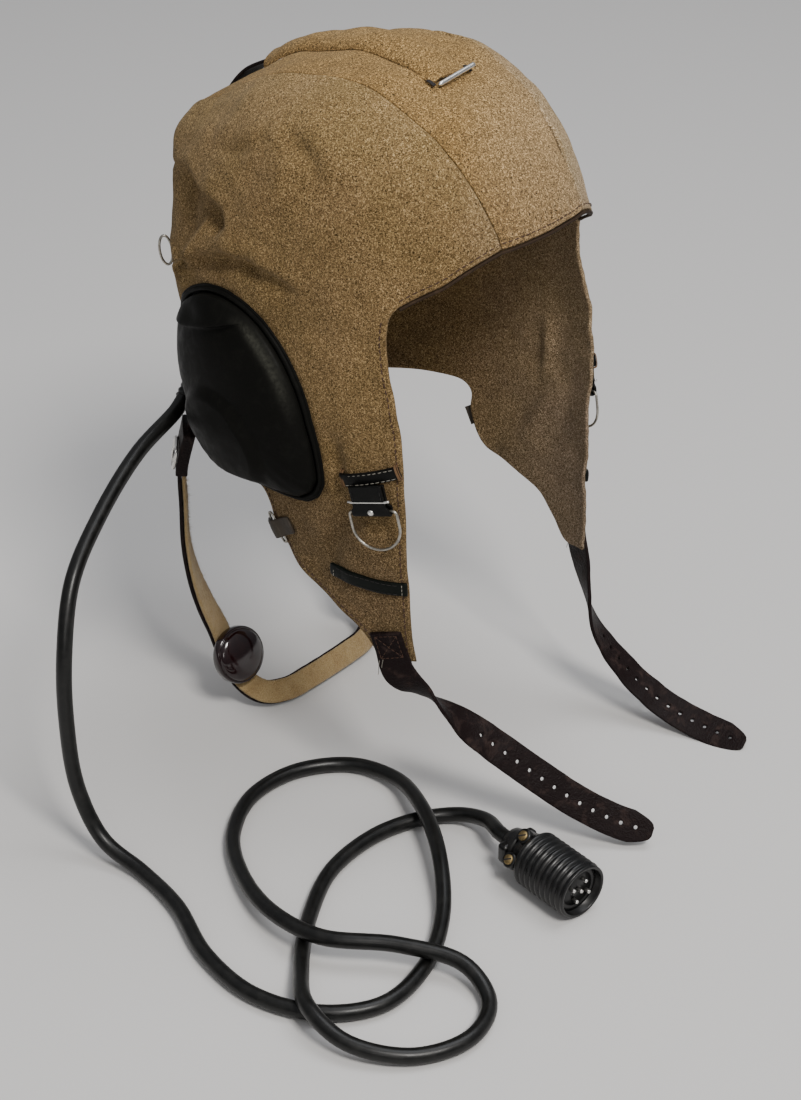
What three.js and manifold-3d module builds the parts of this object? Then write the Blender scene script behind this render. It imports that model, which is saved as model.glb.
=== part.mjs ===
// A cloth summer flying helmet with leather earphone cups, chin straps, a throat collar
// that carries two microphone capsules, and a rubber cord that ends in a round plug.
// Millimetres. +Z is up, the face looks along -Y and the wearer's right side is at -X.
// The origin is the middle of the head at the level of the temples.

import * as THREE from 'three';
import { mergeVertices } from 'three/addons/utils/BufferGeometryUtils.js';
import Module from 'manifold-3d';

const wasm = await Module();
wasm.setup();

// Driving dimensions
const HEAD_TILT = THREE.MathUtils.degToRad(13); // the head looks a little upwards
const CROWN_HEIGHT = 106;
const HEM_LEVEL = -195; // lowest level of the head form, below the flaps
const CLOTH = 1.8;
const LEATHER = 2;
const GAP = 0.3;
const TABLE_Z = -255; // what the cord and the strap ends lie on
const CORD_RADIUS = 3.8;

// Head form, in the tilted head frame: half width, place of the widest line, reach to the front and back
const HEAD_SLICES = [
  { level: 0, halfWidth: 84.5, middle: 0, front: 106, back: 104.5 },
  { level: -45, halfWidth: 86, middle: -3, front: 105, back: 100 },
  { level: -85, halfWidth: 82, middle: -8, front: 100, back: 90 },
  { level: -125, halfWidth: 78, middle: -8, front: 90, back: 74 },
  { level: HEM_LEVEL, halfWidth: 75, middle: 5, front: 72, back: 80 },
];
const SLICE_POWER = 2.25; // 2 is an ellipse, more is squarer
const DOME_POWER = { side: 3.1, front: 2.1, back: 2.7 };

// Folds and dents of the cloth: a ridge or valley from one point to another, head frame
const FOLDS = [
  { name: 'arch over the ear cup', y1: 34, z1: 29, y2: 2, z2: 27, spread: 6.5, height: -2.6, side: 1 },
  { name: 'end of the arch', y1: 2, z1: 27, y2: -16, z2: 18, spread: 6, height: -1.6, side: 1 },
  { name: 'crest behind it', y1: 60, z1: 14, y2: 36, z2: 42, spread: 8, height: 2.6, side: 1 },
  { name: 'hollow behind the ear', y1: 52, z1: 62, y2: 36, z2: 54, spread: 15, height: -2.6, side: 1 },
  { name: 'back shoulder', y1: 66, z1: 74, y2: 74, z2: 60, spread: 17, height: 3.6, side: 1 },
  { name: 'upper dent', y1: 22, z1: 80, y2: -8, z2: 76, spread: 9, height: -1.4, side: 1 },
  { name: 'flat of the crown', y1: 40, z1: 98, y2: 74, z2: 80, spread: 24, height: -4.5, side: 0 },
];

// Outline of one side, world y and z: brow, front edge of the flap, its foot, its rear edge, nape
const BROW = [
  { y: -98, z: 43.5 }, { y: -93, z: 42.5 }, { y: -87, z: 36.5 }, { y: -81, z: 30.5 },
  { y: -71, z: 23.7 }, { y: -66, z: 20 },
];
const FLAP_FRONT = [
  { y: -63.6, z: 15.5 }, { y: -63, z: 8 }, { y: -63.6, z: 0 }, { y: -66, z: -12 }, { y: -69, z: -22 },
  { y: -72, z: -37 }, { y: -73.5, z: -52 }, { y: -74.2, z: -80 }, { y: -74.4, z: -104 },
  { y: -75.2, z: -126 }, { y: -76.2, z: -147 }, { y: -77.5, z: -160 },
];
const FLAP_REAR = [
  { y: -62, z: -162 }, { y: -53, z: -152.2 }, { y: -44, z: -144.2 }, { y: -33.6, z: -138.4 },
  { y: -18.4, z: -131.6 }, { y: -8, z: -126.8 }, { y: -2, z: -120 }, { y: 4, z: -108 },
  { y: 5, z: -99 }, { y: 10, z: -94 }, { y: 28, z: -92.5 }, { y: 60, z: -92 },
];

// Half width of the middle panel, along the head frame's y
const MIDDLE_STRIP = [
  { y: -130, halfWidth: 29 }, { y: -99, halfWidth: 29.5 }, { y: -90, halfWidth: 32.5 },
  { y: -75, halfWidth: 35 }, { y: -50, halfWidth: 37.5 }, { y: -15, halfWidth: 40 },
  { y: 30, halfWidth: 42 }, { y: 70, halfWidth: 39 }, { y: 100, halfWidth: 34 }, { y: 130, halfWidth: 33 },
];

// Ear cup: reach of its outline round its middle, by angle from the back (+y) towards the top
const CUP_MIDDLE = { y: 14, z: -40 };
const CUP_REACH = [
  { angle: 0, reach: 56 }, { angle: 35, reach: 52.5 }, { angle: 70, reach: 49.3 },
  { angle: 98, reach: 44.2 }, { angle: 125, reach: 39.2 }, { angle: 154, reach: 38 },
  { angle: 178, reach: 41.2 }, { angle: 198, reach: 47 }, { angle: 212, reach: 55 },
  { angle: 221, reach: 60.5 }, { angle: 231, reach: 54.5 }, { angle: 249, reach: 47 },
  { angle: 264, reach: 45.6 }, { angle: 285, reach: 49.8 }, { angle: 325, reach: 54.5 },
];
const CUP_HEIGHT = 13;
const CUP_DISC = { y: 20, z: -65, radius: 22, height: 4 }; // round earphone showing through the leather
const PIPING_RADIUS = 1.7;

const RIGHT = -1;
const LEFT = 1;

// Materials
function material(color, roughness, metalness = 0) {
  return new THREE.MeshStandardMaterial({ color, roughness, metalness });
}
const CLOTH_BROWN = material(0x7a5a3a, 0.95);
const CLOTH_MIDDLE = material(0x84684c, 0.95);
const BINDING_GREY = material(0x2c2826, 0.9);
const BLACK_LEATHER = material(0x101113, 0.42);
const DARK_LEATHER = material(0x241a19, 0.55);
const GREEN_LEATHER = material(0x121a15, 0.5);
const FELT = material(0xa88660, 1);
const STEEL = material(0xb9b9b6, 0.25, 1);
const BRASS = material(0x8a7140, 0.4, 1);
const BURGUNDY = material(0x1d0b10, 0.12);
const RUBBER = material(0x0c0d0f, 0.45);
const BAKELITE = material(0x0e0f11, 0.5);

const part = new THREE.Group();

function addMesh(name, geometry, meshMaterial) {
  const mesh = new THREE.Mesh(geometry, meshMaterial);
  mesh.name = name;
  part.add(mesh);
  return mesh;
}

// Small helpers
const v3 = (x, y, z) => new THREE.Vector3(x, y, z);
const lerp = THREE.MathUtils.lerp;

function lookUp(rows, key, value, column) {
  if (value <= rows[0][key]) return rows[0][column];
  for (let i = 1; i < rows.length; i += 1) {
    if (value <= rows[i][key]) {
      const t = (value - rows[i - 1][key]) / (rows[i][key] - rows[i - 1][key]);
      return lerp(rows[i - 1][column], rows[i][column], t);
    }
  }
  return rows[rows.length - 1][column];
}

function headToWorld(p) {
  return p.applyAxisAngle(v3(1, 0, 0), -HEAD_TILT);
}

function worldToHead(p) {
  return p.applyAxisAngle(v3(1, 0, 0), HEAD_TILT);
}

// Head form. turn is 0 at the right side and 90 degrees at the face; down runs from 0 at the
// crown to 1 at the temples and 2 at the hem level.
function sliceAt(level) {
  const rows = [...HEAD_SLICES].reverse();
  return {
    halfWidth: lookUp(rows, 'level', level, 'halfWidth'),
    middle: lookUp(rows, 'level', level, 'middle'),
    front: lookUp(rows, 'level', level, 'front'),
    back: lookUp(rows, 'level', level, 'back'),
  };
}

function levelOf(down) {
  return down <= 1 ? CROWN_HEIGHT * Math.cos((down * Math.PI) / 2) : HEM_LEVEL * (down - 1);
}

function downOf(level) {
  return level >= 0 ? Math.acos(Math.min(1, level / CROWN_HEIGHT)) / (Math.PI / 2) : 1 + level / HEM_LEVEL;
}

function plainPoint(turn, down) {
  const level = levelOf(down);
  const c = Math.cos(turn);
  const s = Math.sin(turn);
  const round = (Math.abs(c) ** SLICE_POWER + Math.abs(s) ** SLICE_POWER) ** (-1 / SLICE_POWER);
  const end = s > 0 ? DOME_POWER.front : DOME_POWER.back;
  const power = DOME_POWER.side + (end - DOME_POWER.side) * s * s;
  const shrink = level > 0 ? Math.max(0, 1 - (level / CROWN_HEIGHT) ** power) ** (1 / power) : 1;
  const slice = sliceAt(Math.min(level, 0));
  const reach = s > 0 ? slice.front + slice.middle : slice.back - slice.middle;
  return v3(-slice.halfWidth * round * c * shrink, (slice.middle - reach * round * s) * shrink, level);
}

function foldHeight(p) {
  let height = 0;
  for (const fold of FOLDS) {
    const dy = fold.y2 - fold.y1;
    const dz = fold.z2 - fold.z1;
    const along = THREE.MathUtils.clamp(
      ((p.y - fold.y1) * dy + (p.z - fold.z1) * dz) / (dy * dy + dz * dz), 0, 1,
    );
    const away = Math.hypot(p.y - fold.y1 - along * dy, p.z - fold.z1 - along * dz);
    const fade = fold.side ? THREE.MathUtils.smoothstep(Math.abs(p.x), 22, 48) : 1;
    height += fold.height * fade * Math.exp(-((away / fold.spread) ** 2));
  }
  return height;
}

function formNormal(turn, down) {
  if (down < 0.03) return v3(0, 0, 1);
  const step = 0.004;
  const across = plainPoint(turn + step, down).sub(plainPoint(turn - step, down));
  const along = plainPoint(turn, down + step).sub(plainPoint(turn, down - step));
  return along.cross(across).normalize();
}

// Point of the cloth's outer face, lifted off it by some millimetres, in the world
function formPoint(turn, down, lift = 0) {
  const p = plainPoint(turn, down);
  const normal = formNormal(turn, down);
  return headToWorld(p.clone().addScaledVector(normal, lift + foldHeight(p)));
}

// The turn and down of the point of the right side that has the given world y and z
function onSide(y, z) {
  const head = worldToHead(v3(0, y, z));
  const down = downOf(head.z);
  let low = -Math.PI / 2;
  let high = Math.PI / 2;
  for (let i = 0; i < 40; i += 1) {
    const middle = (low + high) / 2;
    if (plainPoint(middle, down).y > head.y) low = middle;
    else high = middle;
  }
  return { turn: (low + high) / 2, down };
}

function sidePoint(y, z, lift = 0) {
  const spot = onSide(y, z);
  return formPoint(spot.turn, spot.down, lift);
}

function sideNormal(y, z) {
  const spot = onSide(y, z);
  return headToWorld(formNormal(spot.turn, spot.down));
}

// Solids from points
function meshFrom(points, faces) {
  const geometry = new THREE.BufferGeometry();
  const positions = points.flatMap((p) => [p.x, p.y, p.z]);
  geometry.setAttribute('position', new THREE.Float32BufferAttribute(positions, 3));
  geometry.setIndex(faces.flat());
  return geometry;
}

function signedVolume(geometry) {
  const p = geometry.attributes.position;
  const index = geometry.index;
  let sum = 0;
  for (let i = 0; i < index.count; i += 3) {
    const [a, b, c] = [0, 1, 2].map((k) => v3().fromBufferAttribute(p, index.getX(i + k)));
    sum += a.dot(b.cross(c));
  }
  return sum / 6;
}

function facingOut(geometry) {
  if (signedVolume(geometry) > 0) return geometry;
  const index = geometry.index.array;
  for (let i = 0; i < index.length; i += 3) [index[i], index[i + 1]] = [index[i + 1], index[i]];
  return geometry;
}

// A solid through sections that have the same number of points, each a closed loop. An open
// run is capped: point i of a section faces point n - 1 - i across its thickness.
function loft(sections, closed = false) {
  const n = sections[0].length;
  const faces = [];
  const last = closed ? sections.length : sections.length - 1;
  for (let i = 0; i < last; i += 1) {
    const a = i * n;
    const b = ((i + 1) % sections.length) * n;
    for (let j = 0; j < n; j += 1) {
      const k = (j + 1) % n;
      // both faces of a strip get the same diagonal, so that two twisted plies lie clear
      if (j < n / 2) faces.push([a + j, b + j, a + k], [a + k, b + j, b + k]);
      else faces.push([a + j, b + j, b + k], [a + j, b + k, a + k]);
    }
  }
  if (!closed) {
    const end = (sections.length - 1) * n;
    for (let j = 0; j < n / 2 - 1; j += 1) {
      const j2 = n - 1 - j;
      faces.push([j, j + 1, j2], [j + 1, j2 - 1, j2]);
      faces.push([end + j, end + j2, end + j + 1], [end + j + 1, end + j2, end + j2 - 1]);
    }
  }
  return facingOut(meshFrom(sections.flat(), faces));
}

function smoothPath(points, steps, closed = false) {
  return new THREE.CatmullRomCurve3(points, closed, 'centripetal').getSpacedPoints(steps);
}

function tangentAt(points, i, closed = false) {
  const n = points.length;
  const before = closed ? points[(i + n - 1) % n] : points[Math.max(0, i - 1)];
  const after = closed ? points[(i + 1) % n] : points[Math.min(n - 1, i + 1)];
  return after.clone().sub(before).normalize();
}

// A flat strip along a path. facing gives the outward face, width and lift may be functions
// of the share of the way along.
function ribbon(points, facing, width, thickness, lift = 0) {
  const sections = points.map((p, i) => {
    const share = i / (points.length - 1);
    const t = tangentAt(points, i);
    const n = facing(share, p, t);
    n.addScaledVector(t, -n.dot(t)).normalize();
    const half = (typeof width === 'function' ? width(share) : width) / 2;
    const side = t.clone().cross(n).multiplyScalar(half);
    const base = p.clone().addScaledVector(n, lift);
    const top = base.clone().addScaledVector(n, thickness);
    return [base.clone().sub(side), base.clone().add(side), top.clone().add(side), top.clone().sub(side)];
  });
  return loft(sections);
}

// A round wire bent into a closed loop
function ringWire(points, radius, sides) {
  const plane = v3(0, 0, 0);
  points.forEach((p, i) => plane.add(p.clone().cross(points[(i + 1) % points.length])));
  plane.normalize();
  const sections = points.map((p, i) => {
    const t = tangentAt(points, i, true);
    const out = t.clone().cross(plane).normalize();
    const up = out.clone().cross(t).normalize();
    return Array.from({ length: sides }, (_, k) => {
      const a = (k / sides) * Math.PI * 2;
      return p.clone().addScaledVector(out, radius * Math.cos(a)).addScaledVector(up, radius * Math.sin(a));
    });
  });
  return loft(sections, true);
}

function mirrored(geometry) {
  return facingOut(geometry.clone().applyMatrix4(new THREE.Matrix4().makeScale(-1, 1, 1)));
}

// The right piece and its mirror image on the left
function addPair(name, geometry, meshMaterial) {
  addMesh(`${name}_right`, geometry, meshMaterial);
  addMesh(`${name}_left`, mirrored(geometry), meshMaterial);
}

// Boolean cuts and joins
function toSolid(geometry) {
  const plain = geometry.clone();
  plain.deleteAttribute('normal');
  plain.deleteAttribute('uv');
  const merged = mergeVertices(plain, 1e-4);
  return new wasm.Manifold(new wasm.Mesh({
    numProp: 3,
    vertProperties: new Float32Array(merged.attributes.position.array),
    triVerts: new Uint32Array(merged.index.array),
  }));
}

function toGeometry(solid) {
  const mesh = solid.getMesh();
  const geometry = new THREE.BufferGeometry();
  geometry.setAttribute('position', new THREE.BufferAttribute(new Float32Array(mesh.vertProperties), 3));
  geometry.setIndex(new THREE.BufferAttribute(new Uint32Array(mesh.triVerts), 1));
  return geometry;
}

function cylinderAlong(from, to, radius, sides, farRadius = radius) {
  const axis = to.clone().sub(from);
  const geometry = new THREE.CylinderGeometry(farRadius, radius, axis.length(), sides);
  const turn = new THREE.Quaternion().setFromUnitVectors(v3(0, 1, 0), axis.clone().normalize());
  geometry.applyQuaternion(turn);
  geometry.translate(...from.clone().add(to).multiplyScalar(0.5).toArray());
  return geometry;
}

// Cloth shell of the whole head form, before it is cut into panels
function clothShell() {
  const turns = 56;
  const domeRows = 11;
  const sideRows = 11;
  const rows = [];
  for (let i = 1; i <= domeRows; i += 1) rows.push(i / domeRows);
  for (let i = 1; i <= sideRows; i += 1) rows.push(1 + i / sideRows);
  const points = [];
  const faces = [];
  const layer = (lift) => {
    const start = points.length;
    points.push(formPoint(0, 0, lift));
    for (const down of rows) {
      for (let j = 0; j < turns; j += 1) points.push(formPoint((j / turns) * Math.PI * 2, down, lift));
    }
    return start;
  };
  const skin = (start, flip) => {
    const at = (i, j) => start + 1 + i * turns + (j % turns);
    const add = (a, b, c) => faces.push(flip ? [a, c, b] : [a, b, c]);
    for (let j = 0; j < turns; j += 1) {
      add(start, at(0, j), at(0, j + 1));
      for (let i = 0; i + 1 < rows.length; i += 1) {
        add(at(i, j), at(i + 1, j), at(i, j + 1));
        add(at(i, j + 1), at(i + 1, j), at(i + 1, j + 1));
      }
    }
    return (j) => at(rows.length - 1, j);
  };
  const outerRim = skin(layer(0), false);
  const innerRim = skin(layer(-CLOTH), true);
  for (let j = 0; j < turns; j += 1) {
    faces.push([outerRim(j), innerRim(j), outerRim(j + 1)], [outerRim(j + 1), innerRim(j), innerRim(j + 1)]);
  }
  return toSolid(facingOut(meshFrom(points, faces)));
}

// A side outline pushed through the head from right to left
function sidePrism(outline) {
  const span = 150;
  const shape = new THREE.Shape(outline.map((p) => new THREE.Vector2(p.y, p.z)));
  const geometry = new THREE.ExtrudeGeometry(shape, { depth: 2 * span, bevelEnabled: false });
  const toSide = new THREE.Matrix4().makeBasis(v3(0, 1, 0), v3(0, 0, 1), v3(1, 0, 0));
  toSide.setPosition(-span, 0, 0);
  return toSolid(geometry.applyMatrix4(toSide));
}

function helmetOutline() {
  const far = 150;
  return [
    { y: -far, z: BROW[0].z }, ...BROW, ...FLAP_FRONT, ...FLAP_REAR,
    { y: far, z: FLAP_REAR[FLAP_REAR.length - 1].z }, { y: far, z: far }, { y: -far, z: far },
  ];
}

function middlePrism(extra) {
  const depth = 260;
  const right = MIDDLE_STRIP.map((row) => new THREE.Vector2(-row.halfWidth - extra, row.y));
  const left = MIDDLE_STRIP.map((row) => new THREE.Vector2(row.halfWidth + extra, row.y)).reverse();
  const geometry = new THREE.ExtrudeGeometry(new THREE.Shape([...right, ...left]), {
    depth, bevelEnabled: false,
  });
  geometry.translate(0, 0, -depth / 2);
  return toSolid(geometry.rotateX(-HEAD_TILT));
}

function addPanels() {
  const shell = clothShell().intersect(sidePrism(helmetOutline()));
  const middle = shell.intersect(middlePrism(-GAP / 2));
  const rest = shell.subtract(middlePrism(GAP / 2));
  const halfSpace = toSolid(new THREE.BoxGeometry(200, 400, 500).translate(-100, 0, 0));
  const right = toGeometry(rest.intersect(halfSpace));
  addMesh('center_panel', toGeometry(middle), CLOTH_MIDDLE);
  addMesh('side_panel_right', right, CLOTH_BROWN);
  addMesh('side_panel_left', mirrored(right), CLOTH_BROWN);
}

// Binding under the brow's cut edge, from one temple corner to the other
function addBrowBinding() {
  const height = 2;
  const overhang = 0.7;
  const steps = 44;
  const browRows = [...BROW].sort((a, b) => a.y - b.y);
  const corner = BROW[BROW.length - 1];
  const start = onSide(corner.y - 1, corner.z + 1).turn;
  const sections = [];
  for (let i = 0; i <= steps; i += 1) {
    const turn = lerp(start, Math.PI - start, i / steps);
    let low = downOf(CROWN_HEIGHT * 0.8);
    let high = downOf(-20);
    for (let k = 0; k < 40; k += 1) {
      const down = (low + high) / 2;
      const p = headToWorld(plainPoint(turn, down));
      if (p.z > lookUp(browRows, 'y', p.y, 'z')) low = down;
      else high = down;
    }
    const outer = formPoint(turn, low, overhang);
    const inner = formPoint(turn, low, -CLOTH - overhang);
    const edge = Math.min(outer.z, inner.z) - GAP;
    const foot = edge - height;
    sections.push([
      v3(outer.x, outer.y, edge), v3(outer.x, outer.y, foot),
      v3(inner.x, inner.y, foot), v3(inner.x, inner.y, edge),
    ]);
  }
  const clear = helmetOutline().map((p) => ({ y: p.y - GAP, z: p.z - GAP }));
  const binding = toSolid(loft(sections)).subtract(sidePrism(clear));
  addMesh('brow_binding', toGeometry(binding), BINDING_GREY);
}

// Raised tunnel along the crown with a strap through it and a bar in its front mouth
const CHANNEL = { front: -61, back: 42, halfWidth: 13, height: 5.2, wall: 1.4, seat: 0.8 };
const CHANNEL_BAR = { halfLength: 12, radius: 1.3, ahead: 2.2, seat: 0.6 };
const CROWN_STRAP = { width: 17, thickness: 1.6, front: -55, back: 99, seat: 0.75 };
const STRAP_BULGE = { height: 6, place: 0.8, spread: 0.07 }; // where it stands off the crown
const STRAP_TAIL = [52, 44, 36]; // levels down the back of the head

// Point of the middle line at a distance along the head frame's y, or down the back
function crownPoint(y, lift) {
  const front = y < plainPoint(Math.PI / 2, 0).y;
  const turn = front ? Math.PI / 2 : -Math.PI / 2;
  let low = 0;
  let high = 1;
  for (let i = 0; i < 40; i += 1) {
    const down = (low + high) / 2;
    if (Math.abs(plainPoint(turn, down).y) < Math.abs(y)) low = down;
    else high = down;
  }
  return formPoint(turn, low, lift);
}

function crownPath(from, to, steps, lift) {
  return Array.from({ length: steps + 1 }, (_, i) => {
    const share = i / steps;
    return crownPoint(lerp(from, to, share), typeof lift === 'function' ? lift(share) : lift);
  });
}

function addTopChannel() {
  const steps = 12;
  const arc = 6;
  const path = crownPath(CHANNEL.front, CHANNEL.back, steps, CHANNEL.seat);
  const sections = path.map((p, i) => {
    const t = tangentAt(path, i);
    const up = v3(1, 0, 0).cross(t).normalize();
    const row = (halfWidth, height) => Array.from({ length: arc + 1 }, (_, k) => {
      const share = (k / arc) * 2 - 1;
      const x = share * halfWidth;
      // the crown falls away to the sides, so the feet follow it
      const arch = height * Math.sqrt(1 - 0.98 * share * share);
      return p.clone().add(v3(x, 0, 0)).addScaledVector(up, dropAcross(x) + arch);
    });
    return [
      ...row(CHANNEL.halfWidth, CHANNEL.height),
      ...row(CHANNEL.halfWidth - CHANNEL.wall, CHANNEL.height - CHANNEL.wall).reverse(),
    ];
  });
  addMesh('top_channel', loft(sections), CLOTH_MIDDLE);
}

// How far the crown lies below its middle line at a sideways distance
function dropAcross(x) {
  const reach = HEAD_SLICES[0].halfWidth;
  const power = DOME_POWER.side;
  return CROWN_HEIGHT * ((1 - (Math.abs(x) / reach) ** power) ** (1 / power) - 1);
}

function addChannelBar() {
  const { halfLength, radius, ahead } = CHANNEL_BAR;
  const seat = crownPoint(CHANNEL.front - ahead, CHANNEL_BAR.seat + radius);
  const from = seat.clone().add(v3(-halfLength, 0, 0));
  const to = seat.clone().add(v3(halfLength, 0, 0));
  addMesh('channel_bar', cylinderAlong(from, to, radius, 10), STEEL);
}

function addCrownStrap() {
  const steps = 26;
  const { height, place, spread } = STRAP_BULGE;
  const lift = (share) => CROWN_STRAP.seat + height * Math.exp(-(((share - place) / spread) ** 2));
  const over = crownPath(CROWN_STRAP.front, CROWN_STRAP.back, steps, lift);
  const tail = STRAP_TAIL.map((level) => formPoint(-Math.PI / 2, downOf(level), CROWN_STRAP.seat));
  const path = smoothPath([...over, ...tail], 30);
  const facing = (share, p, t) => v3(1, 0, 0).cross(t);
  addMesh('crown_strap', ribbon(path, facing, CROWN_STRAP.width, CROWN_STRAP.thickness), DARK_LEATHER);
}

// Ear cups
function cupReach(angle) {
  const turns = THREE.MathUtils.euclideanModulo(angle, 360);
  const rows = [...CUP_REACH, { angle: 360, reach: CUP_REACH[0].reach }];
  return lookUp(rows, 'angle', turns, 'reach');
}

function cupSpot(angleShare, out) {
  const angle = angleShare * 360;
  const smooth = [-8, 0, 8].reduce((sum, d) => sum + cupReach(angle + d), 0) / 3;
  const radians = THREE.MathUtils.degToRad(angle);
  return {
    y: CUP_MIDDLE.y + smooth * out * Math.cos(radians),
    z: CUP_MIDDLE.z + smooth * out * Math.sin(radians),
  };
}

function cupLift(spot, out) {
  const dome = CUP_HEIGHT * (1 - Math.min(1, out) ** 2.6) ** (1 / 2.2);
  const away = Math.hypot(spot.y - CUP_DISC.y, spot.z - CUP_DISC.z);
  const { radius, height } = CUP_DISC;
  const disc = height * (1 - THREE.MathUtils.smoothstep(away, radius - 3, radius + 5));
  const shoulder = 1 - THREE.MathUtils.smoothstep(out, 0.8, 1); // the disc fades out at the rim
  return dome + disc * shoulder;
}

function addEarCups() {
  const around = 32;
  const rings = [0.99, 0.95, 0.84, 0.62, 0.32];
  const inset = 0.95;
  const seat = 3 * GAP;
  const points = [];
  const faces = [];
  const layer = (scale, sink) => {
    const start = points.length;
    for (const out of rings) {
      for (let j = 0; j < around; j += 1) {
        const spot = cupSpot(j / around, out * scale);
        const lift = out === rings[0] ? 0 : Math.max(0.5, cupLift(spot, out) - sink);
        points.push(sidePoint(spot.y, spot.z, seat + lift));
      }
    }
    const peak = cupSpot(0, 0);
    points.push(sidePoint(peak.y, peak.z, seat + cupLift(peak, 0) - sink));
    return start;
  };
  const skin = (start, flip) => {
    const at = (i, j) => start + i * around + (j % around);
    const add = (a, b, c) => faces.push(flip ? [a, c, b] : [a, b, c]);
    const peak = start + rings.length * around;
    for (let j = 0; j < around; j += 1) {
      for (let i = 0; i + 1 < rings.length; i += 1) {
        add(at(i, j), at(i, j + 1), at(i + 1, j));
        add(at(i + 1, j), at(i, j + 1), at(i + 1, j + 1));
      }
      add(at(rings.length - 1, j), at(rings.length - 1, j + 1), peak);
    }
    return at;
  };
  const outer = skin(layer(1, 0), false);
  const inner = skin(layer(inset, LEATHER), true);
  for (let j = 0; j < around; j += 1) {
    faces.push([outer(0, j), inner(0, j), outer(0, j + 1)], [outer(0, j + 1), inner(0, j), inner(0, j + 1)]);
  }
  const cup = facingOut(meshFrom(points, faces));
  addPair('ear_cup', cup, BLACK_LEATHER);
}

function addEarPiping() {
  const around = 36;
  const sides = 6;
  const sections = Array.from({ length: around }, (_, j) => {
    const here = cupSpot(j / around, 1);
    const radians = (j / around) * Math.PI * 2;
    const out = PIPING_RADIUS + GAP;
    const middle = { y: here.y + out * Math.cos(radians), z: here.z + out * Math.sin(radians) };
    return Array.from({ length: sides }, (__, k) => {
      const a = (k / sides) * Math.PI * 2;
      const reach = PIPING_RADIUS * Math.cos(a);
      return sidePoint(
        middle.y + reach * Math.cos(radians),
        middle.z + reach * Math.sin(radians),
        2 * GAP + PIPING_RADIUS * (1 + Math.sin(a)),
      );
    });
  });
  const piping = loft(sections, true);
  addPair('ear_piping', piping, BLACK_LEATHER);
}

// Leather bands and tabs on the flaps
const SEAM_LIFT = GAP + 0.2; // a sewn strip's height over the cloth
const BAND_THICKNESS = 1.5;
const UPPER_BAND = { from: { y: -44.5, z: -66.2 }, to: { y: -72.5, z: -55.8 }, bow: 0.6, width: 6.2 };
const LOWER_BAND = { from: { y: -34.4, z: -119.4 }, to: { y: -74.4, z: -119.1 }, bow: 0.4, width: 6.9 };
const HOOK_TAB = { from: { y: 5.2, z: -112.8 }, to: { y: -10, z: -104.5 }, bow: 0, width: 12 };

function bandOnSide({ from, to, bow, width }, steps) {
  const spots = Array.from({ length: steps + 1 }, (_, i) => {
    const share = i / steps;
    const z = lerp(from.z, to.z, share) - bow * Math.sin(share * Math.PI);
    return { y: lerp(from.y, to.y, share), z };
  });
  const points = spots.map((p) => sidePoint(p.y, p.z, SEAM_LIFT));
  const normals = spots.map((p) => sideNormal(p.y, p.z));
  const facing = (share) => normals[Math.round(share * steps)].clone();
  return ribbon(points, facing, width, BAND_THICKNESS);
}

function addBands() {
  addPair('upper_band', bandOnSide(UPPER_BAND, 8), BLACK_LEATHER);
  addPair('lower_band', bandOnSide(LOWER_BAND, 8), GREEN_LEATHER);
}

// D-ring on its bar in a folded leather tab
const RING = { wire: 0.72, halfBar: 12, drop: 20, clearance: 0.48, corner: 1.2 };
const RING_BAR = { y: -61, z: -77, lift: 3.4 };
const RING_TAB = { halfWidth: 8.2, rise: 12, leather: 1.3, thin: 1.4, taper: 4 };

function ringFrame() {
  const middle = sidePoint(RING_BAR.y, RING_BAR.z, RING_BAR.lift);
  const bar = v3(0.28, -0.935, 0.215).normalize();
  const plumb = v3(0, 0, -1);
  const hang = plumb.addScaledVector(bar, -plumb.dot(bar)).normalize();
  const inward = bar.clone().cross(hang);
  return { middle, bar, hang, inward };
}

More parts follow.
